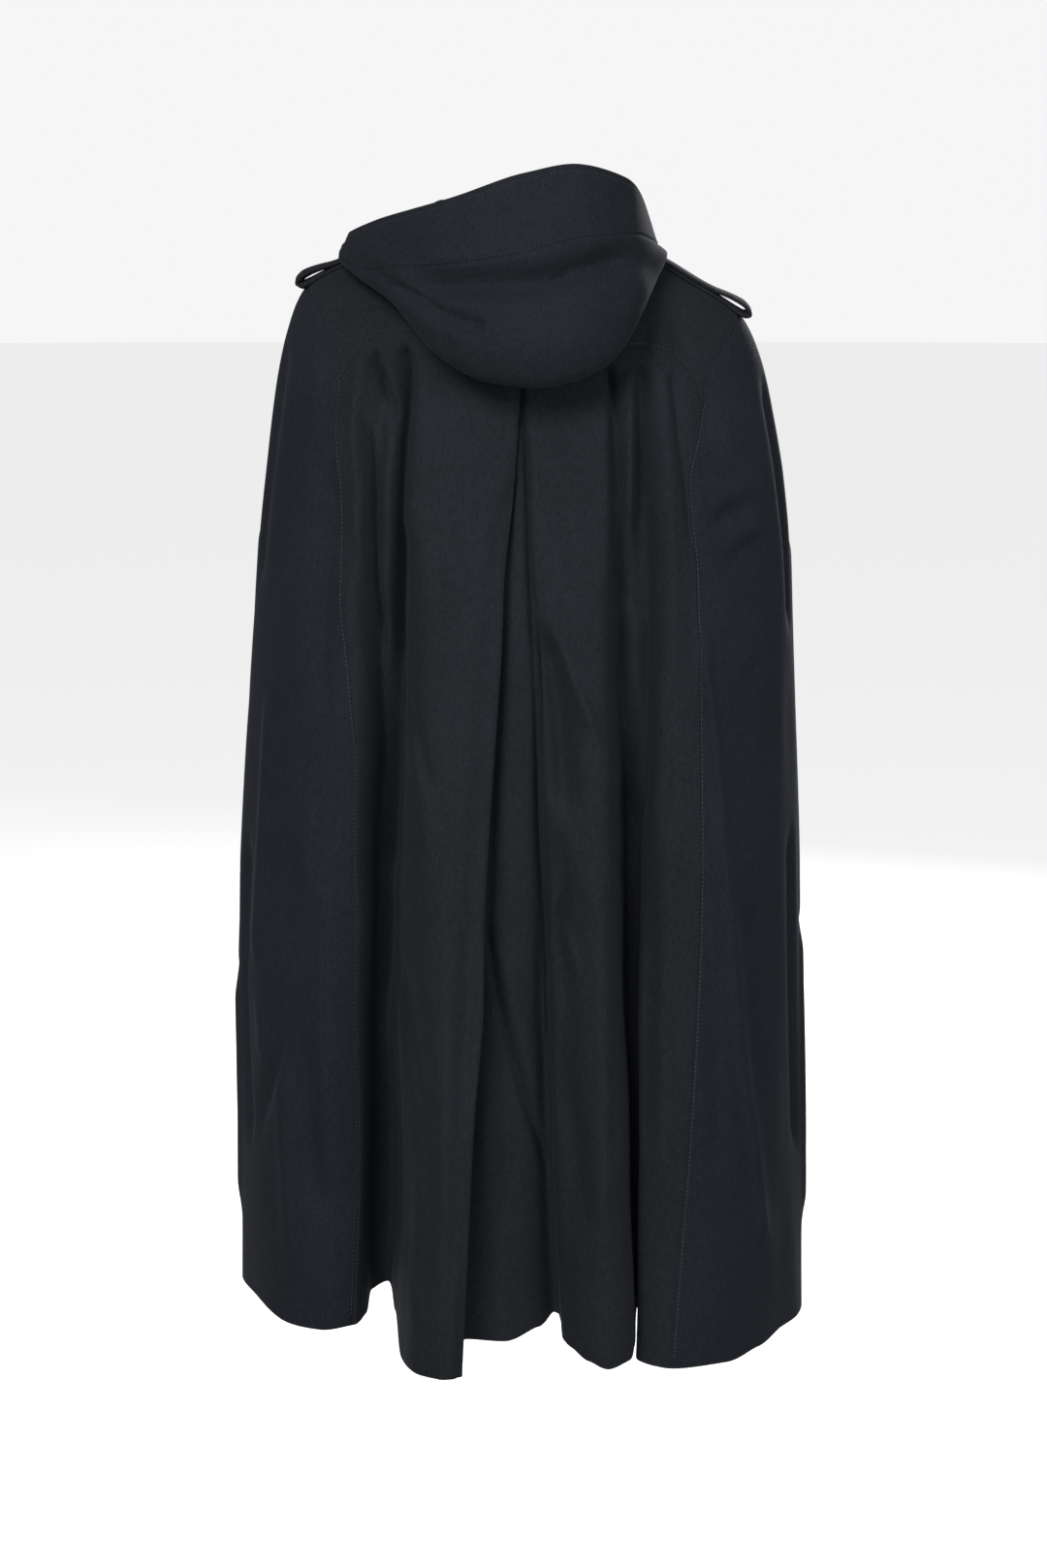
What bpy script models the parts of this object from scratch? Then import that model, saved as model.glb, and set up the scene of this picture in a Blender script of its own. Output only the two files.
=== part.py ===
# Hooded wool cloak, worn shape, open at the neck and the hem.
# Metres, +Z up. The origin is in the neck opening, level with the nape.
# The front faces -Y, the back +Y, the wearer's left is +X.
import math
from collections import namedtuple

import bpy
import bmesh
import numpy as np
from mathutils import Vector
from mathutils.bvhtree import BVHTree

MM = 0.001

# Driving sizes
CLOTH_WALL = 2.0 * MM
SEAM_GAP = 0.3 * MM
LEAST_FACING = 0.72         # limits how much a wall is mitred at a sharp fold
LEAST_MITRE = 0.35          # the same for the seam gap at a sharp corner
SHARP_ANGLE = math.radians(50.0)
SHOULDER_TILT = 0.065       # the left shoulder stands higher than the right one
SECTION_POWER = 2.3         # 2 is an ellipse, more is squarer
SLOPE_ANGLE = 0.5           # half the arc over which the form's direction is measured
NECK_EDGE_ANGLE = 90.0      # the shoulder line, measured from the centre back
HEM_HEIGHT = -1.016
BODY_ROWS = 14              # rows of the wall from the yoke seam to the hem
BODY_ROW_POWER = 1.55       # closer rows at the shoulders
SHOULDER_ROWS = 6           # rows from the neckline to the yoke seam or the shoulder tip
LEVEL_SEAM_ANGLE = 28.0     # the yoke seam is cut level up to here on both sides
OVERLAP_STEP = 1.9 * MM     # each front stands this far off the middle layer

STRAP_WIDTH = 38.0 * MM
STRAP_WALL = 3.2 * MM
STRAP_ROW = 8.0 * MM
STRAP_REACH = 0.195         # past this the strap stands out beyond the shoulder
STRAP_LEAST_FACING = 0.7
STRAP_ABOVE = 0.2           # a height above everything, to measure down from

HOOD_WALL = 2.2 * MM
HOOD_BODY_ROWS = 12
HOOD_BAND_ROWS = 5

BUTTON_RADIUS = 11.0 * MM
BUTTON_THICKNESS = 3.6 * MM
BUTTON_SHANK = 0.65 * MM    # space between the button and the cloth
BUTTON_EDGE = 0.9 * MM
BUTTON_SIDES = 20
BUTTON_TOP = -0.115
BUTTON_PITCH = 0.125
BUTTON_COUNT = 4

COLLECTION_NAME = "wool_cloak"

# The smooth form under the folds, one row for each level.
Section = namedtuple("Section", "height half_width back_depth front_depth")
SECTIONS = [
    Section(-1.150, 0.2780, 0.178, 0.186),
    Section(-1.050, 0.2760, 0.175, 0.183),
    Section(-0.800, 0.2700, 0.165, 0.174),
    Section(-0.500, 0.2620, 0.152, 0.163),
    Section(-0.300, 0.2525, 0.140, 0.152),
    Section(-0.210, 0.2435, 0.132, 0.141),
    Section(-0.150, 0.2350, 0.125, 0.126),
    Section(-0.110, 0.2270, 0.116, 0.108),
    Section(-0.085, 0.2190, 0.109, 0.094),
    Section(-0.070, 0.2120, 0.104, 0.086),
    Section(-0.058, 0.2030, 0.099, 0.079),
    Section(-0.032, 0.1550, 0.084, 0.065),
    Section(0.000, 0.0930, 0.058, 0.049),
    Section(0.014, 0.0680, 0.048, 0.040),
    Section(0.030, 0.0500, 0.038, 0.030),
]

# Lower edge of the back yoke: level for each angle from the centre back.
# Past the corner it is the armhole seam, up to the shoulder tip.
SeamPoint = namedtuple("SeamPoint", "angle height")
YOKE_SEAM = [
    SeamPoint(0.0, -0.092),
    SeamPoint(28.0, -0.092),
    SeamPoint(34.0, -0.096),
    SeamPoint(38.0, -0.104),
    SeamPoint(41.0, -0.119),
    SeamPoint(43.0, -0.140),
]
ARMHOLE_SEAM = [
    SeamPoint(43.0, -0.140),
    SeamPoint(44.5, -0.124),
    SeamPoint(48.0, -0.109),
    SeamPoint(53.0, -0.094),
    SeamPoint(60.0, -0.080),
    SeamPoint(68.0, -0.070),
    SeamPoint(78.0, -0.062),
    SeamPoint(90.0, -0.058),
]
YOKE_CORNER = ARMHOLE_SEAM[0]
SHOULDER_TIP = ARMHOLE_SEAM[-1]
FRONT_CORNER_ANGLE = 132.0

# The neckline: level for each angle from the centre back.
NECKLINE = [
    SeamPoint(0.0, 0.000),
    SeamPoint(25.0, 0.003),
    SeamPoint(45.0, 0.009),
    SeamPoint(70.0, 0.013),
    SeamPoint(90.0, 0.014),
    SeamPoint(110.0, 0.011),
    SeamPoint(128.0, 0.005),
    SeamPoint(149.0, -0.010),
    SeamPoint(164.0, -0.031),
    SeamPoint(174.4, -0.0495),
    SeamPoint(180.0, -0.056),
    SeamPoint(200.0, -0.060),
]

# Fold lines, from the left front edge round the back to the right front edge.
# Each gives its angle and how far it stands out (in millimetres) at four levels.
# hem_lift raises the hem there, steps is the number of wall columns to the next line.
LEVELS = {"yoke": -0.100, "bust": -0.210, "knee": -0.560, "hem": -1.020}
NECK_LEVEL = 0.0
Fold = namedtuple("Fold", "name neck yoke yoke_out bust bust_out knee knee_out hem hem_out hem_lift steps")
FOLDS = [
    Fold("left_front_edge", 186.0, 185.6, 0, 185.3, 1, 184.8, 2, 184.5, 3, 0, 1),
    Fold("left_front_stand", 180.0, 180.0, 0, 180.0, 1, 180.0, 2, 180.0, 3, 0, 1),
    Fold("left_front_middle", 173.5, 174.0, 0, 174.3, 1, 174.8, 2, 175.0, 3, 0, 2),
    Fold("left_front_dip", 160.0, 165.0, 0, 165.0, 0, 165.0, 0, 165.0, -5, 1, 3),
    Fold("left_front_swell", 142.0, 156.0, 0, 156.0, 2, 156.0, 7, 156.0, 15, -3, 3),
    Fold("left_front_hollow", 116.0, 146.0, 0, 147.0, 0, 148.0, -4, 148.0, -12, 2, 2),
    Fold("left_front_seam", 90.0, 132.0, 0, 135.0, 0, 138.0, 0, 139.0, 0, 0, 3),
    Fold("left_arm_swell", 118.0, 118.0, 0, 122.0, 2, 126.0, 6, 127.0, 13, -3, 3),
    Fold("left_arm_hollow", 106.0, 106.0, 0, 108.0, 0, 109.0, -4, 110.0, -9, 2, 2),
    Fold("left_side", 90.0, 90.0, 0, 90.0, 0, 90.0, 2, 90.0, 0, 0, 2),
    Fold("left_side_back", 74.0, 74.0, 0, 73.0, 0, 72.0, -1, 71.9, -6, 2, 2),
    Fold("left_fold_face", 60.0, 60.0, 0, 56.0, 3, 52.5, 8, 50.7, 4, -4, 2),
    Fold("left_fold_crest", 50.0, 50.0, 0, 47.0, 4, 38.5, 8, 40.0, 6, -2, 2),
    Fold("left_back_seam", 43.0, 43.0, 0, 40.0, 6, 33.6, -2, 33.5, -9, 3, 2),
    Fold("left_fold_edge", 36.5, 36.5, 0, 34.0, 11, 31.8, -20, 31.6, -34, 8, 2),
    Fold("left_valley_near", 32.5, 32.5, 0, 29.8, 0, 31.0, -46, 33.2, -68, 22, 1),
    Fold("left_valley_floor", 29.0, 29.0, 0, 26.3, 7, 29.0, -56, 31.4, -84, 27, 1),
    Fold("left_valley_far", 26.0, 26.0, 0, 23.6, -3, 25.6, -38, 27.0, -58, 8, 2),
    Fold("crest_b_rise", 22.0, 22.0, 0, 20.6, 8, 22.0, -5, 21.3, 5, -16, 2),
    Fold("crest_b_shoulder", 16.0, 16.0, 0, 15.5, 10, 17.5, 22, 17.0, 44, -13, 2),
    Fold("crest_b_top", 10.0, 10.0, 0, 9.5, 10, 12.4, 33, 12.0, 61, -11, 2),
    Fold("crest_b_front", 5.0, 5.0, 0, 5.2, 9, 8.6, 35, 10.0, 60, -10, 2),
    Fold("pleat_left_face", 0.7, 0.7, 0, 2.2, 8, 6.0, 33, 9.2, 53, -10, 1),
    Fold("pleat_left_tip", 0.19, 0.19, -2, 1.26, 6, 5.2, 30, 8.6, 49, -10, 1),
    Fold("pleat_left_back", 0.7, 0.7, -4, 2.3, 4, 6.0, 26, 8.9, 43, -9, 2),
    Fold("pleat_left_return", 6.0, 6.0, -4.2, 7.4, 3, 8.8, 5, 10.0, 8, 2, 1),
    Fold("pleat_left_join", 7.0, 7.0, -6.2, 8.4, 0.8, 9.2, 0, 10.2, -1, 4, 1),
    Fold("underlay_left", 6.0, 6.0, -8.2, 7.4, -1.4, 8.0, -4, 8.9, -8, 6, 2),
    Fold("underlay_middle", 0.0, 0.0, -8.4, 0.0, -2.6, 1.2, -6, 2.5, -9, 6, 2),
    Fold("underlay_hollow", -3.5, -3.5, -8.4, -4.0, -2.4, -1.6, -10, -2.0, -24, 17, 1),
    Fold("underlay_right", -6.0, -6.0, -8.2, -7.4, -1.4, -4.0, -15, -4.8, -38, 27, 1),
    Fold("pleat_right_join", -7.0, -7.0, -6.2, -8.4, 0.8, -5.0, -12, -5.6, -36, 26, 1),
    Fold("pleat_right_return", -6.0, -6.0, -4.2, -7.4, 3, -5.5, -7, -6.0, -28, 22, 2),
    Fold("pleat_right_back", -0.7, -0.7, -4, -1.3, 4, -5.3, 1, -6.0, -15, 16, 1),
    Fold("pleat_right_tip", -0.19, -0.19, -2, -0.45, 6, -5.4, 6, -6.1, -6, 12, 1),
    Fold("pleat_right_face", -0.7, -0.7, 0, -1.2, 8, -6.3, 13, -7.2, 6, 9, 1),
    Fold("crest_d_rise", -5.0, -5.0, 0, -4.8, 9, -8.2, 22, -9.6, 24, 3, 2),
    Fold("crest_d_top", -10.0, -10.0, 0, -9.5, 10, -11.2, 27, -12.6, 34, -1, 2),
    Fold("crest_d_edge", -16.0, -16.0, 0, -14.6, 10, -15.2, 21, -16.6, 26, 4, 1),
    Fold("crest_d_turn", -18.5, -18.5, 0, -16.6, 4, -17.6, 2, -18.6, 2, 9, 1),
    Fold("right_valley_near", -21.0, -21.0, 0, -18.0, -4, -20.8, -36, -21.8, -52, 18, 1),
    Fold("right_valley_floor", -23.5, -23.5, 0, -20.4, 5, -23.0, -52, -24.0, -75, 21, 1),
    Fold("right_valley_far", -26.0, -26.0, 0, -24.0, -5, -25.2, -38, -24.6, -50, 9, 1),
    Fold("fold_e_turn", -28.5, -28.5, 0, -26.2, 4, -24.2, -18, -20.8, -22, -2, 1),
    Fold("fold_e_edge", -31.0, -31.0, 0, -28.6, 10, -24.4, -4, -19.8, -6, -6, 2),
    Fold("fold_e_face", -35.0, -35.0, 0, -31.6, 10, -28.6, 6, -22.4, 7, -7, 2),
    Fold("right_back_seam", -43.0, -43.0, 0, -34.6, 8, -33.8, 9, -25.7, 12, -8, 2),
    Fold("fold_e_crest", -50.0, -50.0, 0, -44.0, 4, -40.5, 9, -38.0, 16, -4, 2),
    Fold("fold_e_fall", -60.0, -60.0, 0, -56.0, 1, -53.0, 0, -49.0, 6, 2, 2),
    Fold("right_side_back", -74.0, -74.0, 0, -71.0, -1, -68.0, -8, -64.0, -9, 6, 2),
    Fold("right_side", -90.0, -90.0, 0, -90.0, 0, -90.0, -5, -90.0, -2, 5, 2),
    Fold("right_arm_hollow", -106.0, -106.0, 0, -107.0, 0, -107.0, -4, -108.0, -10, 2, 3),
    Fold("right_arm_swell", -118.0, -118.0, 0, -121.0, 2, -124.0, 6, -125.0, 12, -3, 3),
    Fold("right_front_seam", -90.0, -132.0, 0, -135.0, 0, -138.0, 0, -139.0, 0, 0, 2),
    Fold("right_front_hollow", -116.0, -146.0, 0, -147.0, 0, -149.0, -4, -150.0, -13, 2, 3),
    Fold("right_front_swell", -142.0, -156.0, 0, -157.0, 2, -158.0, 8, -158.0, 16, -3, 3),
    Fold("right_front_dip", -160.0, -165.0, 0, -166.0, 0, -167.0, 1, -167.0, -2, 1, 2),
    Fold("right_front_middle", -173.5, -174.0, 0, -174.3, 1, -174.8, 2, -175.0, 3, 0, 1),
    Fold("right_front_stand", -180.0, -180.0, 0, -180.0, 1, -180.0, 2, -180.0, 3, 0, 1),
    Fold("right_front_edge", -186.0, -185.6, 0, -185.3, 1, -184.8, 2, -184.5, 3, 0, 1),
]
FOLD_INDEX = {fold.name: index for index, fold in enumerate(FOLDS)}

# The hood lies on the back. Each row is a cut through it, by its angle on the neckline.
# low is its lower fold, seam the band seam, rim the free face edge; all in level metres.
HoodCut = namedtuple("HoodCut", "angle low_x low_y low_z seam_x seam_y seam_z rim_x rim_y rim_z")
HOOD_CUTS = [
    HoodCut(176.0, 0.0205, -0.0850, -0.0510, 0.0215, -0.0880, -0.0450, 0.0225, -0.0880, -0.0360),
    HoodCut(160.0, 0.067, -0.081, -0.049, 0.070, -0.082, -0.041, 0.072, -0.077, -0.012),
    HoodCut(135.0, 0.112, -0.062, -0.036, 0.116, -0.063, -0.028, 0.116, -0.058, 0.002),
    HoodCut(105.0, 0.153, -0.014, -0.022, 0.158, -0.012, -0.015, 0.159, -0.014, 0.004),
    HoodCut(78.0, 0.165, 0.045, -0.032, 0.169, 0.048, -0.026, 0.168, 0.040, -0.006),
    HoodCut(52.0, 0.133, 0.112, -0.062, 0.137, 0.114, -0.036, 0.131, 0.094, 0.010),
    HoodCut(26.0, 0.068, 0.172, -0.114, 0.064, 0.172, -0.024, 0.062, 0.148, 0.038),
    HoodCut(0.0, -0.004, 0.187, -0.131, 0.004, 0.184, -0.010, 0.000, 0.164, 0.063),
    HoodCut(-26.0, -0.070, 0.170, -0.111, -0.050, 0.176, 0.006, -0.048, 0.158, 0.074),
    HoodCut(-52.0, -0.114, 0.112, -0.060, -0.101, 0.134, 0.018, -0.090, 0.130, 0.069),
    HoodCut(-78.0, -0.134, 0.045, -0.024, -0.131, 0.066, 0.005, -0.116, 0.070, 0.044),
    HoodCut(-105.0, -0.134, -0.010, -0.014, -0.136, -0.006, 0.001, -0.128, -0.001, 0.021),
    HoodCut(-135.0, -0.104, -0.061, -0.033, -0.108, -0.062, -0.020, -0.106, -0.056, 0.003),
    HoodCut(-160.0, -0.063, -0.080, -0.048, -0.066, -0.081, -0.040, -0.068, -0.077, -0.013),
    HoodCut(-176.0, -0.0205, -0.0850, -0.0510, -0.0215, -0.0880, -0.0450, -0.0225, -0.0880, -0.0370),
]
HOOD_END_ANGLE = 173.6      # the hood is sewn on from here round to the same place opposite
HOOD_COLUMN_ANGLE = 5.9
HOOD_NECK_RISE = 11.0 * MM  # the hood stands this far up before it rolls outwards
HOOD_LOW_ROUND = 11.0 * MM  # half the thickness of the rolled lower fold
HOOD_BULGE = 0.8            # how far the outer layer swells out, as a share of that
HOOD_MOST_ROUND = 0.5       # both stay within these shares of the height from fold to seam
HOOD_MOST_BULGE = 0.35
HOOD_CLEARANCE = 3.2 * MM   # middle of the hood's wall to the middle of the body's
HOOD_OVER_STRAP = 2.2 * MM  # space between the hood and a strap under it
HOOD_STRAP_MARGIN = 0.25    # how far past the strap's side that holds, in strap widths
HOOD_STRAP_RAMP = 12.0 * MM
HOOD_LEAST_SIZE = 0.22
HOOD_LAYER_STEP = 5.6 * MM  # the outer layer lies at least this far off the under layer
HOOD_FULL_REACH = 55.0 * MM # past this the lower fold has its full roundness


# The hood passes these stations along every cut. Each stands on a base point of the cut,
# or part of the way to the next base point, then moves out and up by shares of a roundness.
# layers is how many layer steps it lies off the body at least.
HoodStation = namedtuple("HoodStation", "base towards part round out up layers")
HOOD_STATIONS = [
    HoodStation("start", "start", 0.0, "roll", 0.0, 0.0, 0.0),
    HoodStation("start", "start", 0.0, "roll", 0.0, 0.45, 0.0),
    HoodStation("start", "start", 0.0, "roll", 0.55, 1.0, 0.0),
    HoodStation("roll", "low", 0.30, "fold", -0.30, 0.0, 0.0),
    HoodStation("roll", "low", 0.62, "fold", -0.62, 0.0, 0.0),
    HoodStation("roll", "low", 0.88, "fold", -0.88, 0.0, 0.0),
    HoodStation("low", "low", 0.0, "fold", -0.55, 0.0, 0.0),
    HoodStation("low", "low", 0.0, "fold", 0.45, 0.7, 0.6),
    HoodStation("low", "seam", 0.5, "bulge", 1.0, 0.25, 1.0),
    HoodStation("seam", "seam", 0.0, "fold", 0.0, 0.0, 1.5),
    HoodStation("seam", "rim", 0.5, "fold", 0.0, 0.0, 1.5),
    HoodStation("rim", "rim", 0.0, "fold", 0.0, 0.0, 1.5),
]
HOOD_ROLL_STATION = 2
HOOD_SEAM_STATION = 9

# A shoulder strap's path: distance out along the shoulder, and height off the cloth.
StrapPoint = namedtuple("StrapPoint", "out lift")
STRAP_PATH = [
    StrapPoint(0.098, 3.2),
    StrapPoint(0.118, 3.2),
    StrapPoint(0.136, 3.2),
    StrapPoint(0.154, 3.8),
    StrapPoint(0.168, 7.0),
    StrapPoint(0.182, 11.6),
    StrapPoint(0.196, 15.6),
    StrapPoint(0.207, 16.2),
    StrapPoint(0.2150, 12.0),
    StrapPoint(0.2110, 6.6),
    StrapPoint(0.201, 4.4),
    StrapPoint(0.190, 3.8),
    StrapPoint(0.179, 3.6),
]
STRAP_TURN = 7              # the outermost point of the upper layer
StrapPlace = namedtuple("StrapPlace", "side centre_y")
STRAP_PLACES = {"epaulette_left": StrapPlace(1.0, 0.004), "epaulette_right": StrapPlace(-1.0, 0.013)}

# colour (linear), roughness, metallic
Finish = namedtuple("Finish", "colour roughness metallic")
WOOL_BACK = Finish((0.020, 0.022, 0.027, 1.0), 0.92, 0.0)
WOOL_SIDE = Finish((0.018, 0.021, 0.029, 1.0), 0.92, 0.0)
WOOL_HOOD = Finish((0.019, 0.021, 0.025, 1.0), 0.92, 0.0)
HORN = Finish((0.012, 0.012, 0.013, 1.0), 0.45, 0.0)


# ---------------------------------------------------------------- curves
def smooth_value(at, places, values):
    # cubic through the values, with slopes that never overshoot
    last = len(places) - 2
    index = min(max(int(np.searchsorted(places, at)) - 1, 0), last)
    steps = np.diff(places)
    rises = np.diff(values) / steps

    def slope(knot):
        if knot == 0:
            return rises[0]
        if knot == len(places) - 1:
            return rises[-1]
        before, after = rises[knot - 1], rises[knot]
        if before * after <= 0.0:
            return 0.0
        return 2.0 * before * after / (before + after)

    width = steps[index]
    part = min(max((at - places[index]) / width, 0.0), 1.0)
    start, end = values[index], values[index + 1]
    return (
        (1 + 2 * part) * (1 - part) ** 2 * start
        + part * (1 - part) ** 2 * width * slope(index)
        + part * part * (3 - 2 * part) * end
        + part * part * (part - 1) * width * slope(index + 1)
    )


def curve_point(before, start, end, after, part):
    # centripetal curve between start and end
    knots = [0.0]
    points = [before, start, end, after]
    for first, second in zip(points, points[1:]):
        knots.append(knots[-1] + max(np.linalg.norm(second - first), 1e-6) ** 0.5)
    at = knots[1] + part * (knots[2] - knots[1])

    def mix(low, high, low_knot, high_knot):
        share = (at - low_knot) / (high_knot - low_knot)
        return low * (1 - share) + high * share

    first = mix(before, start, knots[0], knots[1])
    second = mix(start, end, knots[1], knots[2])
    third = mix(end, after, knots[2], knots[3])
    first = mix(first, second, knots[0], knots[2])
    second = mix(second, third, knots[1], knots[3])
    return mix(first, second, knots[1], knots[2])


def path_point(points, place):
    # place counts points along the path: 2.5 lies halfway from the third to the fourth
    last = len(points) - 1
    index = min(int(place), last - 1)
    start, end = points[index], points[index + 1]
    before = points[index - 1] if index > 0 else 2 * start - end
    after = points[index + 2] if index + 2 <= last else 2 * end - start
    return curve_point(before, start, end, after, place - index)


# ---------------------------------------------------------------- smooth form
SECTION_HEIGHTS = np.array([section.height for section in SECTIONS])
SECTION_WIDTHS = np.array([section.half_width for section in SECTIONS])
SECTION_BACKS = np.array([section.back_depth for section in SECTIONS])
SECTION_FRONTS = np.array([section.front_depth for section in SECTIONS])


def section_at(height):
    return tuple(
        smooth_value(height, SECTION_HEIGHTS, column)
        for column in (SECTION_WIDTHS, SECTION_BACKS, SECTION_FRONTS)
    )


def form_point(angle, height):
    half_width, back_depth, front_depth = section_at(height)
    across, along = math.sin(math.radians(angle)), math.cos(math.radians(angle))
    depth = back_depth if along > 0 else front_depth
    power = 2.0 / SECTION_POWER
    return np.array([
        half_width * math.copysign(abs(across) ** power, across),
        depth * math.copysign(abs(along) ** power, along),
    ])


def folded_point(angle, height, out):
    # a point of the form moved level outwards
    run = form_point(angle + SLOPE_ANGLE, height) - form_point(angle - SLOPE_ANGLE, height)
    outward = np.array([-run[1], run[0]])
    outward /= np.linalg.norm(outward)
    return form_point(angle, height) + outward * out


def tilted(point):
    return np.array([point[0], point[1], point[2] + SHOULDER_TILT * point[0]])


# ---------------------------------------------------------------- folded body
def seam_height(angle, seam):
    return smooth_value(abs(angle), [row.angle for row in seam], [row.height for row in seam])


def armhole_height(angle):
    # the back armhole, mirrored to the front with the front corner's own angle
    size = abs(angle)
    if size > NECK_EDGE_ANGLE:
        span = (NECK_EDGE_ANGLE - YOKE_CORNER.angle) / (FRONT_CORNER_ANGLE - NECK_EDGE_ANGLE)
        size = NECK_EDGE_ANGLE - (size - NECK_EDGE_ANGLE) * span
    return seam_height(size, ARMHOLE_SEAM)


def armhole_front_angle(height):
    # inverse of armhole_height in front of the shoulder
    low, high = NECK_EDGE_ANGLE, FRONT_CORNER_ANGLE
    for _ in range(30):
        middle = 0.5 * (low + high)
        if armhole_height(middle) > height:
            low = middle
        else:
            high = middle
    return 0.5 * (low + high)


def fold_place(fold, height):
    # the angle and the distance out of a fold line at a height
    heights = [LEVELS["hem"], LEVELS["knee"], LEVELS["bust"], LEVELS["yoke"]]
    angles = [fold.hem, fold.knee, fold.bust, fold.yoke]
    outs = [fold.hem_out, fold.knee_out, fold.bust_out, fold.yoke_out]
    if fold.name.endswith("_seam"):
        heights[-1] = YOKE_CORNER.height
    if height > heights[-1]:
        return angles[-1], outs[-1] * MM
    return smooth_value(height, heights, angles), smooth_value(height, heights, outs) * MM


def front_place(fold, height):
    # the fronts reach the neckline, so their fold lines fan in above the corner
    angle, out = fold_place(fold, height)
    if height > YOKE_CORNER.height:
        part = (height - YOKE_CORNER.height) / (NECK_LEVEL - YOKE_CORNER.height)
        corner_angle, _ = fold_place(fold, YOKE_CORNER.height)
        if fold.name.endswith("front_seam"):
            side = math.copysign(1.0, fold.yoke)
            inner = armhole_front_angle(height) if height < SHOULDER_TIP.height else NECK_EDGE_ANGLE
            angle = side * inner
        else:
            angle = corner_angle + (fold.neck - corner_angle) * min(max(part, 0.0), 1.0)
    return angle, out


def overlap_shift(fold):
    # the right front lies over the left one
    if "front_edge" in fold.name or "front_stand" in fold.name or "front_middle" in fold.name:
        return OVERLAP_STEP if fold.name.startswith("right") else -OVERLAP_STEP
    return 0.0


def body_point(place, height, placer, low, high):
    # a point on the folded body between the fold lines low and high
    index = min(int(place), high - 1)
    knots = []
    for number in range(index - 1, index + 3):
        number = min(max(number, low), high)
        fold = FOLDS[number]
        angle, out = placer(fold, height)
        knots.append(folded_point(angle, height, out + overlap_shift(fold)))
    if index == low:
        knots[0] = 2 * knots[1] - knots[2]
    if index + 1 == high:
        knots[3] = 2 * knots[2] - knots[1]
    point = curve_point(*knots, place - index)
    return np.array([point[0], point[1], height])


def columns_between(first, last):
    # column places from one fold line to another, with each line's own steps
    low, high = FOLD_INDEX[first], FOLD_INDEX[last]
    places = []
    for index in range(low, high):
        steps = FOLDS[index].steps
        places += [index + step / steps for step in range(steps)]
    return places + [float(high)]


def mixed(place, getter):
    index = min(int(place), len(FOLDS) - 2)
    part = place - index
    part = part * part * (3 - 2 * part)
    return getter(FOLDS[index]) * (1 - part) + getter(FOLDS[index + 1]) * part


def straight_mix(place, getter):
    index = min(int(place), len(FOLDS) - 2)
    part = place - index
    return getter(FOLDS[index]) * (1 - part) + getter(FOLDS[index + 1]) * part


def hem_height(place):
    return HEM_HEIGHT + mixed(place, lambda fold: fold.hem_lift) * MM


def row_heights(top, bottom):
    parts = [(row / BODY_ROWS) ** BODY_ROW_POWER for row in range(BODY_ROWS + 1)]
    return [top + (bottom - top) * part for part in parts]


def hanging_panel(first, last, seam_of):
    # a panel of the back or side, from its upper seam down to the hem
    low, high = 0, len(FOLDS) - 1
    grid = []
    for place in columns_between(first, last):
        angle = straight_mix(place, lambda fold: fold.yoke)
        top = seam_of(angle)
        heights = row_heights(top, hem_height(place))
        grid.append([body_point(place, height, fold_place, low, high) for height in heights])
    return np.array(grid)


def yoke_height(angle):
    return seam_height(min(abs(angle), YOKE_CORNER.angle), YOKE_SEAM)


def front_panel(side, armhole_points):
    # a front, from the neckline and shoulder to the hem; armhole_points run tip to corner
    names = [side + "_front_seam", side + "_front_edge"]
    ends = sorted(FOLD_INDEX[name] for name in names)
    first, last = FOLDS[ends[0]].name, FOLDS[ends[1]].name
    seam_place = float(FOLD_INDEX[names[0]])
    corner = YOKE_CORNER.height
    neck_side = seam_height(NECK_EDGE_ANGLE, NECKLINE)
    shoulder_share = (neck_side - SHOULDER_TIP.height) / (neck_side - corner)
    armhole_shares = [
        (SHOULDER_TIP.height - point[2]) / (SHOULDER_TIP.height - corner) for point in armhole_points
    ]
    grid = []
    for place in columns_between(first, last):
        neck_angle = straight_mix(place, lambda fold: fold.neck)
        top = seam_height(neck_angle, NECKLINE)
        middle = top + (corner - top) * shoulder_share
        heights = [top + (middle - top) * row / SHOULDER_ROWS for row in range(SHOULDER_ROWS)]
        heights += [middle + (corner - middle) * share for share in armhole_shares]
        heights += row_heights(corner, hem_height(place))[1:]
        column = [body_point(place, height, front_place, *ends) for height in heights]
        if place == seam_place:
            for number, point in enumerate(armhole_points):
                column[SHOULDER_ROWS + number] = point
        grid.append(column)
    return np.array(grid)


def yoke_panel(lower_edge):
    # from the neckline down to the edge that the hanging panels share
    grid = []
    for edge in lower_edge:
        angle = angle_of(edge)
        top = seam_height(angle, NECKLINE)
        foot = form_point(angle, edge[2])
        column = []
        for row in range(SHOULDER_ROWS + 1):
            part = row / SHOULDER_ROWS
            height = top + (edge[2] - top) * part
            point = form_point(angle, height) + (edge[:2] - foot) * part ** 2
            column.append(np.array([point[0], point[1], height]))
        grid.append(column)
    return np.array(grid)


def angle_of(point):
    # the angle on the form at which a point lies
    half_width, back_depth, front_depth = section_at(point[2])
    depth = back_depth if point[1] > 0 else front_depth
    power = SECTION_POWER / 2.0
    across = math.copysign(abs(point[0] / half_width) ** power, point[0])
    along = math.copysign(abs(point[1] / depth) ** power, point[1])
    return math.degrees(math.atan2(across, along))


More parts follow.
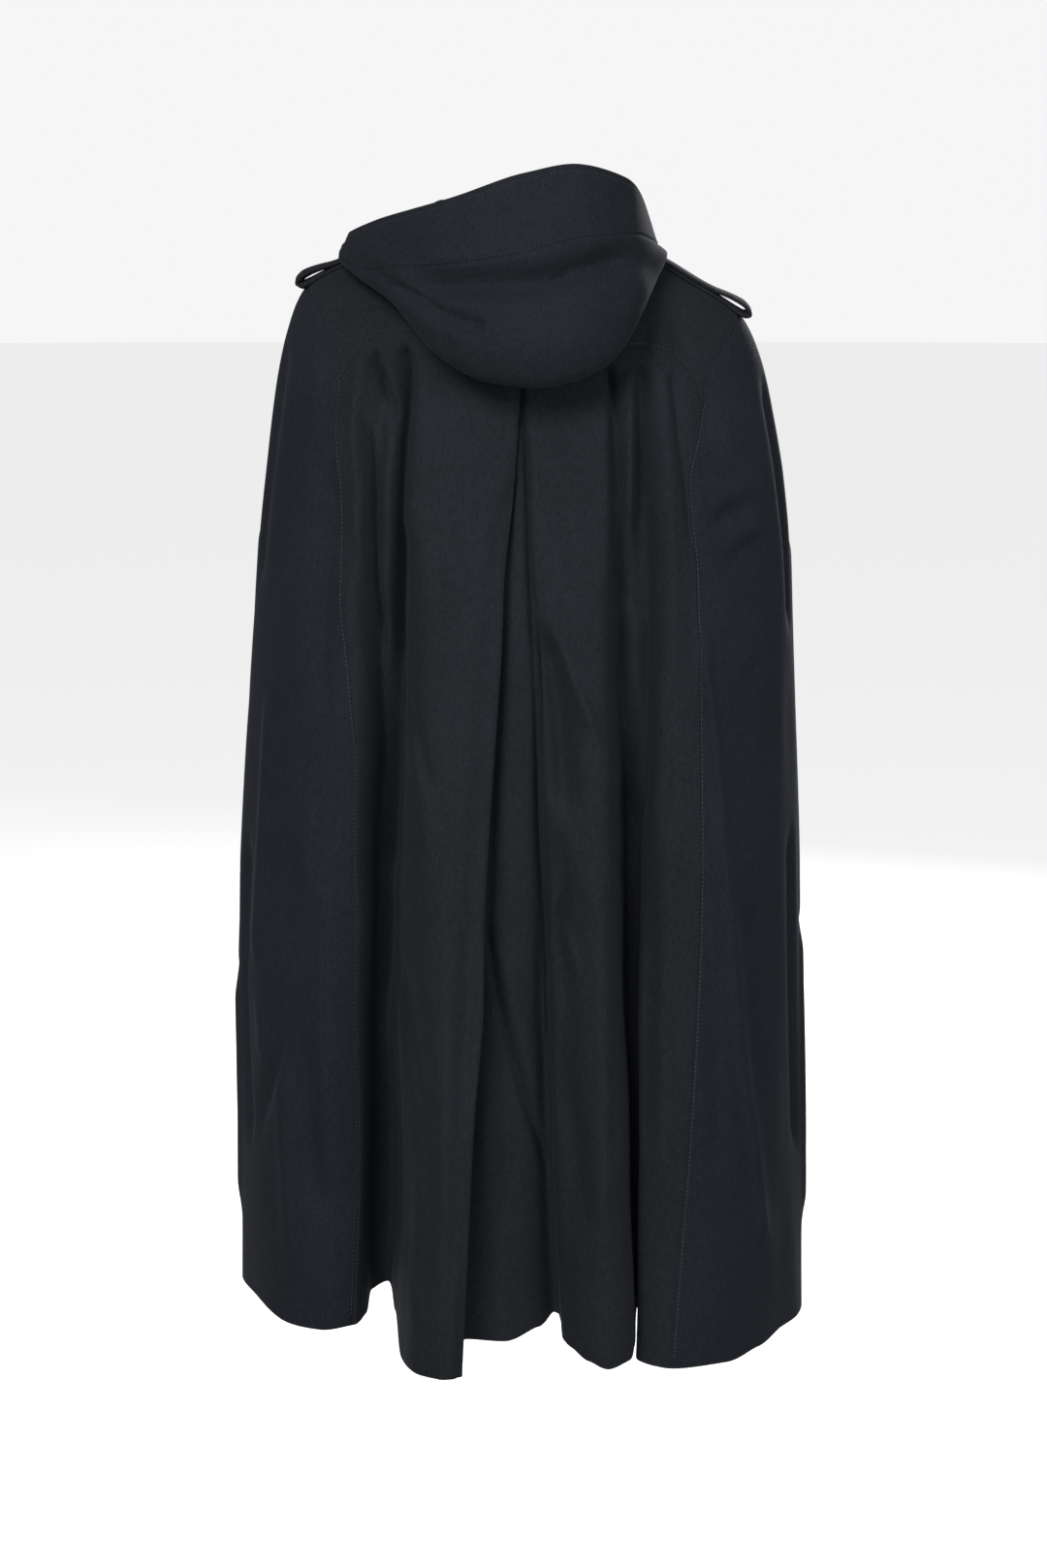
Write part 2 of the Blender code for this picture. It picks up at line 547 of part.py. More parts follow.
# ---------------------------------------------------------------- walls
def grid_normals(grids, flip):
    # one outward direction for each point, shared by the panels that meet there
    sums = {}
    faces = {}

    def key(point):
        return tuple(np.round(point / (0.01 * MM)).astype(int))

    for grid in grids:
        columns, rows = grid.shape[:2]
        for column in range(columns - 1):
            for row in range(rows - 1):
                corners = [(column, row), (column, row + 1), (column + 1, row + 1), (column + 1, row)]
                points = [grid[corner] for corner in corners]
                normal = np.cross(points[2] - points[0], points[3] - points[1]) * flip
                size = np.linalg.norm(normal)
                if size < 1e-12:
                    continue
                for point in points:
                    sums.setdefault(key(point), np.zeros(3))
                    sums[key(point)] += normal / size ** 0.5
                    faces.setdefault(key(point), []).append(normal / size)
    normals = []
    for grid in grids:
        field = np.zeros(grid.shape)
        for index in np.ndindex(grid.shape[:2]):
            name = key(grid[index])
            unit = sums[name] / np.linalg.norm(sums[name])
            facing = np.mean([max(float(unit @ face), 0.0) for face in faces[name]])
            field[index] = unit / max(facing, LEAST_FACING)
        normals.append(field)
    return normals


def edge_inset(grid, point, inner, neighbours):
    # half the seam gap into the panel, square to the edge on both sides of the point
    squares = []
    for near in neighbours:
        if near != point:
            along = grid[near] - grid[point]
            along /= np.linalg.norm(along)
            inward = grid[inner] - grid[point]
            inward -= along * (inward @ along)
            squares.append(inward / np.linalg.norm(inward))
    middle = sum(squares)
    middle /= np.linalg.norm(middle)
    return middle * SEAM_GAP * 0.5 / max(float(middle @ squares[0]), LEAST_MITRE)


def pulled_in(grid, sides):
    # moves the sewn edges in by half the seam gap
    result = grid.copy()
    columns, rows = grid.shape[:2]

    def inner_row(row):
        return min(max(row, 1), rows - 2)

    def inner_column(column):
        return min(max(column, 1), columns - 2)

    edges = {
        "first": [((0, row), (1, inner_row(row)), (0, max(row - 1, 0)), (0, min(row + 1, rows - 1)))
                  for row in range(rows)],
        "last": [((columns - 1, row), (columns - 2, inner_row(row)), (columns - 1, max(row - 1, 0)),
                  (columns - 1, min(row + 1, rows - 1))) for row in range(rows)],
        "top": [((column, 0), (inner_column(column), 1), (max(column - 1, 0), 0),
                 (min(column + 1, columns - 1), 0)) for column in range(columns)],
        "bottom": [((column, rows - 1), (inner_column(column), rows - 2), (max(column - 1, 0), rows - 1),
                    (min(column + 1, columns - 1), rows - 1)) for column in range(columns)],
    }
    for side in sides:
        for point, inner, before, after in edges[side]:
            result[point] += edge_inset(grid, point, inner, (before, after))
    return result


def wall_mesh(name, grid, normals, thickness):
    # closes a grid of points into a wall, half its thickness to each side
    columns, rows = grid.shape[:2]
    mesh = bpy.data.meshes.new(name)
    bm = bmesh.new()
    layers = []
    for side in (0.5, -0.5):
        points = grid + normals * thickness * side
        layers.append([[bm.verts.new(tilted(points[column, row])) for row in range(rows)]
                       for column in range(columns)])
    outer, inner = layers
    for column in range(columns - 1):
        for row in range(rows - 1):
            for layer, order in ((outer, 1), (inner, -1)):
                corners = [layer[column][row], layer[column][row + 1],
                           layer[column + 1][row + 1], layer[column + 1][row]]
                bm.faces.new(corners[::order])
    rim = [(column, 0) for column in range(columns)]
    rim += [(columns - 1, row) for row in range(1, rows)]
    rim += [(column, rows - 1) for column in range(columns - 2, -1, -1)]
    rim += [(0, row) for row in range(rows - 2, 0, -1)]
    for here, there in zip(rim, rim[1:] + rim[:1]):
        bm.faces.new([outer[here[0]][here[1]], outer[there[0]][there[1]],
                      inner[there[0]][there[1]], inner[here[0]][here[1]]])
    bmesh.ops.recalc_face_normals(bm, faces=bm.faces)
    bmesh.ops.triangulate(bm, faces=bm.faces)
    bm.to_mesh(mesh)
    bm.free()
    return mesh


# ---------------------------------------------------------------- scene helpers
def clear_scene():
    for item in list(bpy.data.objects):
        bpy.data.objects.remove(item)


def make_material(name, finish):
    material = bpy.data.materials.new(name)
    material.use_nodes = True
    shader = material.node_tree.nodes["Principled BSDF"]
    shader.inputs["Base Color"].default_value = finish.colour
    shader.inputs["Roughness"].default_value = finish.roughness
    shader.inputs["Metallic"].default_value = finish.metallic
    material.diffuse_color = finish.colour
    return material


def add_piece(collection, name, mesh, finish):
    piece = bpy.data.objects.new(name, mesh)
    collection.objects.link(piece)
    mesh.materials.append(make_material(name + "_cloth", finish))
    mesh.shade_smooth()
    mesh.set_sharp_from_angle(angle=SHARP_ANGLE)
    return piece


# ---------------------------------------------------------------- body pieces
def body_grids():
    pleat_left, pleat_right = "pleat_left_join", "pleat_right_join"
    grids = {
        "side_left": hanging_panel("left_front_seam", "left_back_seam", armhole_height),
        "back_left": hanging_panel("left_back_seam", pleat_left, yoke_height),
        "back_pleat_underlay": hanging_panel(pleat_left, pleat_right, yoke_height),
        "back_right": hanging_panel(pleat_right, "right_back_seam", yoke_height),
        "side_right": hanging_panel("right_back_seam", "right_front_seam", armhole_height),
    }
    left_top = grids["side_left"][:, 0]
    right_top = grids["side_right"][:, 0]
    left_tip = int(np.argmax(left_top[:, 2]))
    right_tip = int(np.argmax(right_top[:, 2]))
    back_left_face = columns_between("left_back_seam", "pleat_left_face")
    back_right_face = columns_between("pleat_right_face", "right_back_seam")
    lower_edge = list(left_top[left_tip:])
    lower_edge += list(grids["back_left"][1:len(back_left_face), 0])
    lower_edge += list(grids["back_right"][-len(back_right_face):-1, 0])
    lower_edge += list(right_top[:right_tip + 1])
    grids["yoke_back"] = yoke_panel(lower_edge)
    grids["front_left"] = front_panel("left", left_top[:left_tip + 1][::-1])
    grids["front_right"] = front_panel("right", right_top[right_tip:])
    return grids


SEWN_EDGES = {
    "side_left": ("first", "last", "top"),
    "back_left": ("first", "last", "top"),
    "back_pleat_underlay": ("first", "last", "top"),
    "back_right": ("first", "last", "top"),
    "side_right": ("first", "last", "top"),
    "yoke_back": ("first", "last", "bottom"),
    "front_left": ("last",),
    "front_right": ("first",),
}


def level_seam(grid, normal, row):
    # the yoke seam is cut level across the back, so the pleat's layers end square under it
    for column in range(grid.shape[0]):
        angle = abs(angle_of(grid[column, row]))
        if angle < LEVEL_SEAM_ANGLE:
            normal[column, row, 2] = 0.0


def build_body(collection):
    grids = body_grids()
    names = list(grids)
    normals = grid_normals([grids[name] for name in names], flip=1.0)
    for name, normal in zip(names, normals):
        if name.startswith("back_"):
            level_seam(grids[name], normal, 0)
        if name == "yoke_back":
            level_seam(grids[name], normal, -1)
        grid = pulled_in(grids[name], SEWN_EDGES[name])
        finish = WOOL_SIDE if name.startswith("side") else WOOL_BACK
        add_piece(collection, name, wall_mesh(name, grid, normal, CLOTH_WALL), finish)
    return grids


# ---------------------------------------------------------------- what lies on the body
def body_surface(grids, names):
    # the middle layer of some body pieces, as a surface to measure from
    points = []
    faces = []
    for name in names:
        grid = grids[name]
        columns, rows = grid.shape[:2]
        first = len(points)
        points += [tuple(grid[column, row]) for column in range(columns) for row in range(rows)]
        for column in range(columns - 1):
            for row in range(rows - 1):
                corner = first + column * rows + row
                faces.append((corner, corner + 1, corner + rows + 1))
                faces.append((corner, corner + rows + 1, corner + rows))
    return BVHTree.FromPolygons(points, faces)


def moved_clear(surface, point, clearance):
    # pushes a point out until it is this far off the surface
    spot, normal, _, distance = surface.find_nearest(Vector(point))
    outward = Vector(point) - spot
    if outward.dot(normal) < 0.0:
        outward = normal
    if outward.dot(normal) > 0.0 and distance >= clearance and outward is not normal:
        return point
    return np.array(spot + outward.normalized() * clearance)


# ---------------------------------------------------------------- hood
def hood_stations(cut, neck):
    # the points that one cut through the hood passes: neck, roll, lower fold, seam, rim
    low, seam, rim = cut[0:3], cut[3:6], cut[6:9]
    outward = low - neck
    outward[2] = 0.0
    reach = np.linalg.norm(outward)
    outward /= max(reach, MM)
    up = np.array([0.0, 0.0, 1.0])
    size = min(1.0, HOOD_LEAST_SIZE + reach / HOOD_FULL_REACH)
    depth = np.linalg.norm(seam - low)
    rise = HOOD_NECK_RISE * size
    fold = min(HOOD_LOW_ROUND * size, HOOD_MOST_ROUND * depth)
    bulge = min(HOOD_BULGE * fold, HOOD_MOST_BULGE * depth)
    rounds = {"roll": rise, "fold": fold, "bulge": bulge}
    bases = {"start": neck + up * (CLOTH_WALL * 0.5 + SEAM_GAP), "low": low, "seam": seam, "rim": rim}
    points = []
    for row in HOOD_STATIONS:
        base = bases[row.base] * (1.0 - row.part) + bases[row.towards] * row.part
        points.append(base + (outward * row.out + up * row.up) * rounds[row.round])
        bases["roll"] = points[min(HOOD_ROLL_STATION, len(points) - 1)]
    return points


def hood_clearance(point):
    # the hood also rides over the shoulder straps
    place = STRAP_PLACES["epaulette_left" if point[0] > 0 else "epaulette_right"]
    upper = STRAP_PATH[:STRAP_TURN]
    lift = smooth_value(abs(point[0]), [row.out for row in upper], [row.lift for row in upper]) * MM
    over_strap = lift + STRAP_WALL * 0.5 + HOOD_WALL * 0.5 + HOOD_OVER_STRAP
    aside = (abs(point[1] - place.centre_y) - STRAP_WIDTH * 0.5) / STRAP_WIDTH
    near = 1.0 - min(max((aside - HOOD_STRAP_MARGIN) * 2.0, 0.0), 1.0)
    near *= min(max((abs(point[0]) - STRAP_PATH[0].out) / HOOD_STRAP_RAMP + 1.0, 0.0), 1.0)
    near = near * near * (3 - 2 * near)
    return HOOD_CLEARANCE + max(over_strap - HOOD_CLEARANCE, 0.0) * near


def hood_lifted(surface, point, station):
    # each layer of the hood lies clear of the body and of the layer under it
    if station < HOOD_ROLL_STATION:
        return point
    layers = np.interp(station, range(len(HOOD_STATIONS)), [row.layers for row in HOOD_STATIONS])
    return moved_clear(surface, point, hood_clearance(point) + HOOD_LAYER_STEP * layers)


def hood_grid(neck_points, surface):
    angles = [cut.angle for cut in HOOD_CUTS][::-1]
    grid = []
    for angle, neck in neck_points:
        values = np.array([
            smooth_value(angle, angles, [cut[column] for cut in HOOD_CUTS][::-1])
            for column in range(1, 10)
        ])
        stations = hood_stations(values, neck)
        stations = [hood_lifted(surface, point, station) for station, point in enumerate(stations)]
        places = [HOOD_SEAM_STATION * row / HOOD_BODY_ROWS for row in range(HOOD_BODY_ROWS)]
        places += list(np.linspace(HOOD_SEAM_STATION, len(HOOD_STATIONS) - 1, HOOD_BAND_ROWS + 1))
        column = [hood_lifted(surface, path_point(stations, place), place) for place in places]
        grid.append(column)
    return np.array(grid)


def neckline_points(body):
    # the panels' own points along the neckline with their angles, thinned to a few degrees apart
    samples = [(angle_of(column[-1]), column[0]) for column in body["yoke_back"][1:-1]]
    for side in ("left", "right"):
        ends = sorted((side + "_front_edge", side + "_front_seam"), key=FOLD_INDEX.get)
        for place, column in zip(columns_between(*ends), body["front_" + side]):
            samples.append((straight_mix(place, lambda fold: fold.neck), column[0]))
    samples = [sample for sample in samples if abs(sample[0]) < HOOD_END_ANGLE]
    samples.sort(key=lambda sample: -sample[0])
    kept = samples[:1]
    for sample in samples[1:-1]:
        if kept[-1][0] - sample[0] >= HOOD_COLUMN_ANGLE:
            kept.append(sample)
    if kept[-1][0] - samples[-1][0] < HOOD_COLUMN_ANGLE * 0.5:
        kept.pop()
    return kept + samples[-1:]


def build_hood(collection, body):
    surface = body_surface(body, [name for name in body if name != "back_pleat_underlay"])
    grid = hood_grid(neckline_points(body), surface)
    body_grid = grid[:, :HOOD_BODY_ROWS + 1]
    band_grid = grid[:, HOOD_BODY_ROWS:]
    normals = grid_normals([body_grid, band_grid], flip=1.0)
    body_grid = pulled_in(body_grid, ("bottom",))
    band_grid = pulled_in(band_grid, ("top",))
    add_piece(collection, "hood_body", wall_mesh("hood_body", body_grid, normals[0], HOOD_WALL), WOOL_HOOD)
    add_piece(collection, "hood_band", wall_mesh("hood_band", band_grid, normals[1], HOOD_WALL), WOOL_HOOD)



# ---------------------------------------------------------------- shoulder straps
def strap_rows(place):
    # rows across the strap, one of them on the shoulder line that it bends over
    front = place.centre_y - STRAP_WIDTH * 0.5
    back = place.centre_y + STRAP_WIDTH * 0.5
    before = max(1, round(-front / STRAP_ROW))
    behind = max(1, round(back / STRAP_ROW))
    rows = [front - front * row / before for row in range(before)]
    return rows + [back * row / behind for row in range(behind + 1)]


def strap_grid(place, surface):
    points = [np.array([row.out, row.lift * MM]) for row in STRAP_PATH]
    columns = 2 * (len(points) - 1)
    grid = []
    for number in range(columns + 1):
        out, lift = path_point(points, number * (len(points) - 1) / columns)
        column = []
        for depth in strap_rows(place):
            above = Vector((place.side * min(out, STRAP_REACH), depth, STRAP_ABOVE))
            spot, normal, _, _ = surface.ray_cast(above, Vector((0.0, 0.0, -1.0)))
            along = Vector((place.side * normal.z, 0.0, -abs(normal.x))).normalized()
            up = Vector((place.side * abs(normal.x), 0.0, normal.z)).normalized()
            square = max(up.dot(normal), STRAP_LEAST_FACING)
            point = spot + along * max(out - STRAP_REACH, 0.0) + up * (lift / square)
            column.append(np.array(point))
        grid.append(column)
    return np.array(grid)


def build_straps(collection, body):
    surface = body_surface(body, ["yoke_back", "front_left", "front_right", "side_left", "side_right"])
    for name, place in STRAP_PLACES.items():
        grid = strap_grid(place, surface)
        normals = grid_normals([grid], flip=place.side)[0]
        add_piece(collection, name, wall_mesh(name, grid, normals, STRAP_WALL), WOOL_BACK)


# ---------------------------------------------------------------- buttons
def build_buttons(collection):
    for number in range(BUTTON_COUNT):
        height = BUTTON_TOP - BUTTON_PITCH * number
        place = float(FOLD_INDEX["right_front_middle"])
        ends = (FOLD_INDEX["right_front_seam"], FOLD_INDEX["right_front_edge"])
        here = body_point(place, height, front_place, *ends)
        above = body_point(place, height + BUTTON_RADIUS, front_place, *ends)
        rise = above - here
        rise /= np.linalg.norm(rise)
        outward = np.array([0.0, -rise[2], rise[1]])
        seat = CLOTH_WALL * 0.5 + BUTTON_SHANK + BUTTON_THICKNESS * 0.5
        centre = tilted(here + outward * seat)
        name = "button_" + str(number + 1)
        mesh = bpy.data.meshes.new(name)
        bm = bmesh.new()
        bmesh.ops.create_cone(bm, cap_ends=True, segments=BUTTON_SIDES, radius1=BUTTON_RADIUS,
                              radius2=BUTTON_RADIUS, depth=BUTTON_THICKNESS)
        bm.to_mesh(mesh)
        bm.free()
        piece = add_piece(collection, name, mesh, HORN)
        piece.location = centre
        piece.rotation_euler = (math.atan2(-outward[1], outward[2]), 0.0, 0.0)
        bevel = piece.modifiers.new("rounded_edge", "BEVEL")
        bevel.width = BUTTON_EDGE
        bevel.segments = 1
        bevel.limit_method = "ANGLE"


def main():
    clear_scene()
    collection = bpy.data.collections.new(COLLECTION_NAME)
    bpy.context.scene.collection.children.link(collection)
    body = build_body(collection)
    build_hood(collection, body)
    build_straps(collection, body)
    build_buttons(collection)


main()
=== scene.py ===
import math
from collections import namedtuple

import bpy
import bmesh
import numpy as np
from mathutils import Matrix, Vector
from mathutils.bvhtree import BVHTree


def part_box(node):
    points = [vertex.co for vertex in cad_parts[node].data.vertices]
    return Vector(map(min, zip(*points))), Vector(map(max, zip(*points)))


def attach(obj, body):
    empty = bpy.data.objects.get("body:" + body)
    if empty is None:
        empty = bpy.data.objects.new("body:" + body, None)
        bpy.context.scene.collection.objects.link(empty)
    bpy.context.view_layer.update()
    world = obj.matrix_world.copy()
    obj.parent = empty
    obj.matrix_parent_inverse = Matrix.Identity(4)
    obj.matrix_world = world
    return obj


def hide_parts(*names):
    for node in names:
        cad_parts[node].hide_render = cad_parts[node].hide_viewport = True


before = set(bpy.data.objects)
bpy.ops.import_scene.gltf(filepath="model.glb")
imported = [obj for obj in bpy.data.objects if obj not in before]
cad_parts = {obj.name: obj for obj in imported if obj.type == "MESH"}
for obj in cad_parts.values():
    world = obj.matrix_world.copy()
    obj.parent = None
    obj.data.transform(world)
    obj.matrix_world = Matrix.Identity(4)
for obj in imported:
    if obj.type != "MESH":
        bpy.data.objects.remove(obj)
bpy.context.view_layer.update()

mm = 0.001
closeRows = (0.35, 0.9, 1.7, 2.8)    # rows close beside a seam, in mm from it
print("stage: frame loaded")


def gridQuads(index):
    return np.stack([index[:-1, :-1], index[:-1, 1:], index[1:, 1:], index[1:, :-1]], axis=-1).reshape(-1, 4)


# the folded form
bodyForm = {
    "clothWall": 2.0 * mm,
    "hemWall": 2.9 * mm,        # the turned hem is thicker
    "hemTurn": 34.0 * mm,
    "seamGap": 0.02 * mm,
    "grooveDepth": 1.5 * mm,    # the outer face rolls down into each seam
    "grooveWidth": 1.6 * mm,
    "columnPitch": 4.2 * mm,
    "backPitch": 2.5 * mm,
    "rowPitch": 5.0 * mm,
    "shoulderRows": 22,
    "shoulderTilt": 0.065,
    "sectionPower": 2.3,
    "slopeAngle": 0.5,
    "hemHeight": -1.016,
    "overlapStep": 1.9 * mm,
    "levelSeamAngle": 28.0,
    "leastFacing": 0.72,
}

Section = namedtuple("Section", "height halfWidth backDepth frontDepth")
sections = [Section(*row) for row in (
    (-1.15, 0.278, 0.178, 0.186), (-1.05, 0.276, 0.175, 0.183), (-0.8, 0.27, 0.165, 0.174),
    (-0.5, 0.262, 0.152, 0.163), (-0.3, 0.2525, 0.14, 0.152), (-0.21, 0.2435, 0.132, 0.141),
    (-0.15, 0.235, 0.125, 0.126), (-0.11, 0.227, 0.116, 0.108), (-0.085, 0.219, 0.109, 0.094),
    (-0.07, 0.212, 0.104, 0.086), (-0.058, 0.203, 0.099, 0.079), (-0.032, 0.155, 0.084, 0.065),
    (0, 0.093, 0.058, 0.049), (0.014, 0.068, 0.048, 0.04), (0.03, 0.05, 0.038, 0.03),
)]

SeamPoint = namedtuple("SeamPoint", "angle height")
yokeSeam = [SeamPoint(*row) for row in (
    (0, -0.092), (28, -0.092), (34, -0.096), (38, -0.104), (41, -0.119), (43, -0.14),
)]
armholeSeam = [SeamPoint(*row) for row in (
    (43, -0.14), (44.5, -0.124), (48, -0.109), (53, -0.094), (60, -0.08), (68, -0.07), (78, -0.062), (90, -0.058),
)]
yokeCorner = armholeSeam[0]
shoulderTip = armholeSeam[-1]
neckEdgeAngle = 90.0
frontCornerAngle = 132.0

neckline = [SeamPoint(*row) for row in (
    (0, 0), (25, 0.003), (45, 0.009), (70, 0.013), (90, 0.014), (110, 0.011), (128, 0.005), (149, -0.01),
    (164, -0.031), (174.4, -0.0495), (180, -0.056), (200, -0.06),
)]

# Fold lines from the left front edge round the back to the right front edge:
# angle and distance out in millimetres at four levels, and the lift of the hem.
levels = {"yoke": -0.100, "bust": -0.210, "knee": -0.560, "hem": -1.020}
neckLevel = 0.0
Fold = namedtuple("Fold", "name neck yoke yokeOut bust bustOut knee kneeOut hem hemOut hemLift")
folds = [Fold(*row) for row in (
    ("leftFrontEdge", 186, 185.6, 0, 185.3, 1, 184.8, 2, 184.5, 3, 0),
    ("leftFrontStand", 180, 180, 0, 180, 1, 180, 2, 180, 3, 0),
    ("leftFrontMiddle", 173.5, 174, 0, 174.3, 1, 174.8, 2, 175, 3, 0),
    ("leftFrontDip", 160, 165, 0, 165, 0, 165, 0, 165, -5, 1),
    ("leftFrontSwell", 142, 156, 0, 156, 2, 156, 7, 156, 15, -3),
    ("leftFrontHollow", 116, 146, 0, 147, 0, 148, -4, 148, -12, 2),
    ("leftFrontSeam", 90, 132, 0, 135, 0, 138, 0, 139, 0, 0),
    ("leftArmSwell", 118, 118, 0, 122, 2, 126, 6, 127, 13, -3),
    ("leftArmHollow", 106, 106, 0, 108, 0, 109, -4, 110, -9, 2),
    ("leftSide", 90, 90, 0, 90, 0, 90, 2, 90, 0, 0),
    ("leftSideBack", 74, 74, 0, 73, 0, 72, -1, 71.9, -6, 2),
    ("leftFoldFace", 60, 60, 0, 56, 3, 52.5, 8, 50.7, 4, -4),
    ("leftFoldCrest", 50, 50, 0, 47, 4, 38.5, 8, 40, 6, -2),
    ("leftBackSeam", 43, 43, 0, 40, 6, 33.6, -2, 33.5, -9, 3),
    ("leftFoldEdge", 36.5, 36.5, 0, 34, 11, 31.8, -20, 31.6, -34, 8),
    ("leftValleyNear", 32.5, 32.5, 0, 29.8, 0, 31, -46, 33.2, -68, 22),
    ("leftValleyFloor", 29, 29, 0, 26.3, 7, 29, -56, 31.4, -84, 27),
    ("leftValleyFar", 26, 26, 0, 23.6, -3, 25.6, -38, 27, -58, 8),
    ("crestBRise", 22, 22, 0, 20.6, 8, 22, -5, 21.3, 5, -16),
    ("crestBShoulder", 16, 16, 0, 15.5, 10, 17.5, 22, 17, 44, -13),
    ("crestBTop", 10, 10, 0, 9.5, 10, 12.4, 33, 12, 61, -11),
    ("crestBFront", 5, 5, 0, 5.2, 9, 8.6, 35, 10, 60, -10),
    ("pleatLeftFace", 0.7, 0.7, 0, 2.2, 8, 6, 33, 9.2, 53, -10),
    ("pleatLeftTip", 0.19, 0.19, -2, 1.26, 6, 5.2, 30, 8.6, 49, -10),
    ("pleatLeftBack", 0.7, 0.7, -4, 2.3, 4, 6, 26, 8.9, 43, -9),
    ("pleatLeftReturn", 6, 6, -4.2, 7.4, 3, 8.8, 5, 10, 8, 2),
    ("pleatLeftJoin", 7, 7, -6.2, 8.4, 0.8, 9.2, 0, 10.2, -1, 4),
    ("underlayLeft", 6, 6, -8.2, 7.4, -1.4, 8, -4, 8.9, -8, 6),
    ("underlayMiddle", 0, 0, -8.4, 0, -2.6, 1.2, -6, 2.5, -9, 6),
    ("underlayHollow", -3.5, -3.5, -8.4, -4, -2.4, -1.6, -10, -2, -24, 17),
    ("underlayRight", -6, -6, -8.2, -7.4, -1.4, -4, -15, -4.8, -38, 27),
    ("pleatRightJoin", -7, -7, -6.2, -8.4, 0.8, -5, -12, -5.6, -36, 26),
    ("pleatRightReturn", -6, -6, -4.2, -7.4, 3, -5.5, -7, -6, -28, 22),
    ("pleatRightBack", -0.7, -0.7, -4, -1.3, 4, -5.3, 1, -6, -15, 16),
    ("pleatRightTip", -0.19, -0.19, -2, -0.45, 6, -5.4, 6, -6.1, -6, 12),
    ("pleatRightFace", -0.7, -0.7, 0, -1.2, 8, -6.3, 13, -7.2, 6, 9),
    ("crestDRise", -5, -5, 0, -4.8, 9, -8.2, 22, -9.6, 24, 3),
    ("crestDTop", -10, -10, 0, -9.5, 10, -11.2, 27, -12.6, 34, -1),
    ("crestDEdge", -16, -16, 0, -14.6, 10, -15.2, 21, -16.6, 26, 4),
    ("crestDTurn", -18.5, -18.5, 0, -16.6, 4, -17.6, 2, -18.6, 2, 9),
    ("rightValleyNear", -21, -21, 0, -18, -4, -20.8, -36, -21.8, -52, 18),
    ("rightValleyFloor", -23.5, -23.5, 0, -20.4, 5, -23, -52, -24, -75, 21),
    ("rightValleyFar", -26, -26, 0, -24, -5, -25.2, -38, -24.6, -50, 9),
    ("foldETurn", -28.5, -28.5, 0, -26.2, 4, -24.2, -18, -20.8, -22, -2),
    ("foldEEdge", -31, -31, 0, -28.6, 10, -24.4, -4, -19.8, -6, -6),
    ("foldEFace", -35, -35, 0, -31.6, 10, -28.6, 6, -22.4, 7, -7),
    ("rightBackSeam", -43, -43, 0, -34.6, 8, -33.8, 9, -25.7, 12, -8),
    ("foldECrest", -50, -50, 0, -44, 4, -40.5, 9, -38, 16, -4),
    ("foldEFall", -60, -60, 0, -56, 1, -53, 0, -49, 6, 2),
    ("rightSideBack", -74, -74, 0, -71, -1, -68, -8, -64, -9, 6),
    ("rightSide", -90, -90, 0, -90, 0, -90, -5, -90, -2, 5),
    ("rightArmHollow", -106, -106, 0, -107, 0, -107, -4, -108, -10, 2),
    ("rightArmSwell", -118, -118, 0, -121, 2, -124, 6, -125, 12, -3),
    ("rightFrontSeam", -90, -132, 0, -135, 0, -138, 0, -139, 0, 0),
    ("rightFrontHollow", -116, -146, 0, -147, 0, -149, -4, -150, -13, 2),
    ("rightFrontSwell", -142, -156, 0, -157, 2, -158, 8, -158, 16, -3),
    ("rightFrontDip", -160, -165, 0, -166, 0, -167, 1, -167, -2, 1),
    ("rightFrontMiddle", -173.5, -174, 0, -174.3, 1, -174.8, 2, -175, 3, 0),
    ("rightFrontStand", -180, -180, 0, -180, 1, -180, 2, -180, 3, 0),
    ("rightFrontEdge", -186, -185.6, 0, -185.3, 1, -184.8, 2, -184.5, 3, 0),
)]
foldIndex = {fold.name: index for index, fold in enumerate(folds)}
ringHeights = np.concatenate([np.arange(-1.10, -0.16, 0.005), np.arange(-0.16, 0.024, 0.001)])


def smoothStep(value):
    value = np.clip(value, 0.0, 1.0)
    return value * value * (3.0 - 2.0 * value)


def smoothValues(at, places, values):
    # cubic through the values, with slopes that never overshoot
    at = np.asarray(at, float)
    places = np.asarray(places, float)
    values = np.asarray(values, float)
    steps = np.diff(places)
    rises = np.diff(values, axis=-1) / steps
    before, after = rises[..., :-1], rises[..., 1:]
    product, total = before * after, before + after
    inner = np.where(product > 0.0, 2.0 * product / np.where(total == 0.0, 1.0, total), 0.0)
    slopes = np.concatenate([rises[..., :1], inner, rises[..., -1:]], axis=-1)
    index = np.clip(np.searchsorted(places, at) - 1, 0, len(places) - 2)
    width = steps[index]
    part = np.clip((at - places[index]) / width, 0.0, 1.0)
    return (
        (1 + 2 * part) * (1 - part) ** 2 * values[..., index]
        + part * (1 - part) ** 2 * width * slopes[..., index]
        + part * part * (3 - 2 * part) * values[..., index + 1]
        + part * part * (part - 1) * width * slopes[..., index + 1]
    )


def curvePoints(before, start, end, after, part):
    # centripetal curve between start and end, for whole arrays of points
    def gap(first, second):
        return np.sqrt(np.maximum(np.linalg.norm(second - first, axis=-1, keepdims=True), 1e-6))

    knotB = gap(before, start)
    knotC = knotB + gap(start, end)
    knotD = knotC + gap(end, after)
    knotA = np.zeros_like(knotB)
    at = knotB + part * (knotC - knotB)

    def mix(low, high, lowKnot, highKnot):
        share = (at - lowKnot) / (highKnot - lowKnot)
        return low * (1 - share) + high * share

    first = mix(before, start, knotA, knotB)
    second = mix(start, end, knotB, knotC)
    third = mix(end, after, knotC, knotD)
    first = mix(first, second, knotA, knotC)
    second = mix(second, third, knotB, knotD)
    return mix(first, second, knotB, knotC)


def sectionAt(height):
    places = [row.height for row in sections]
    return [smoothValues(height, places, [row[column] for row in sections]) for column in (1, 2, 3)]


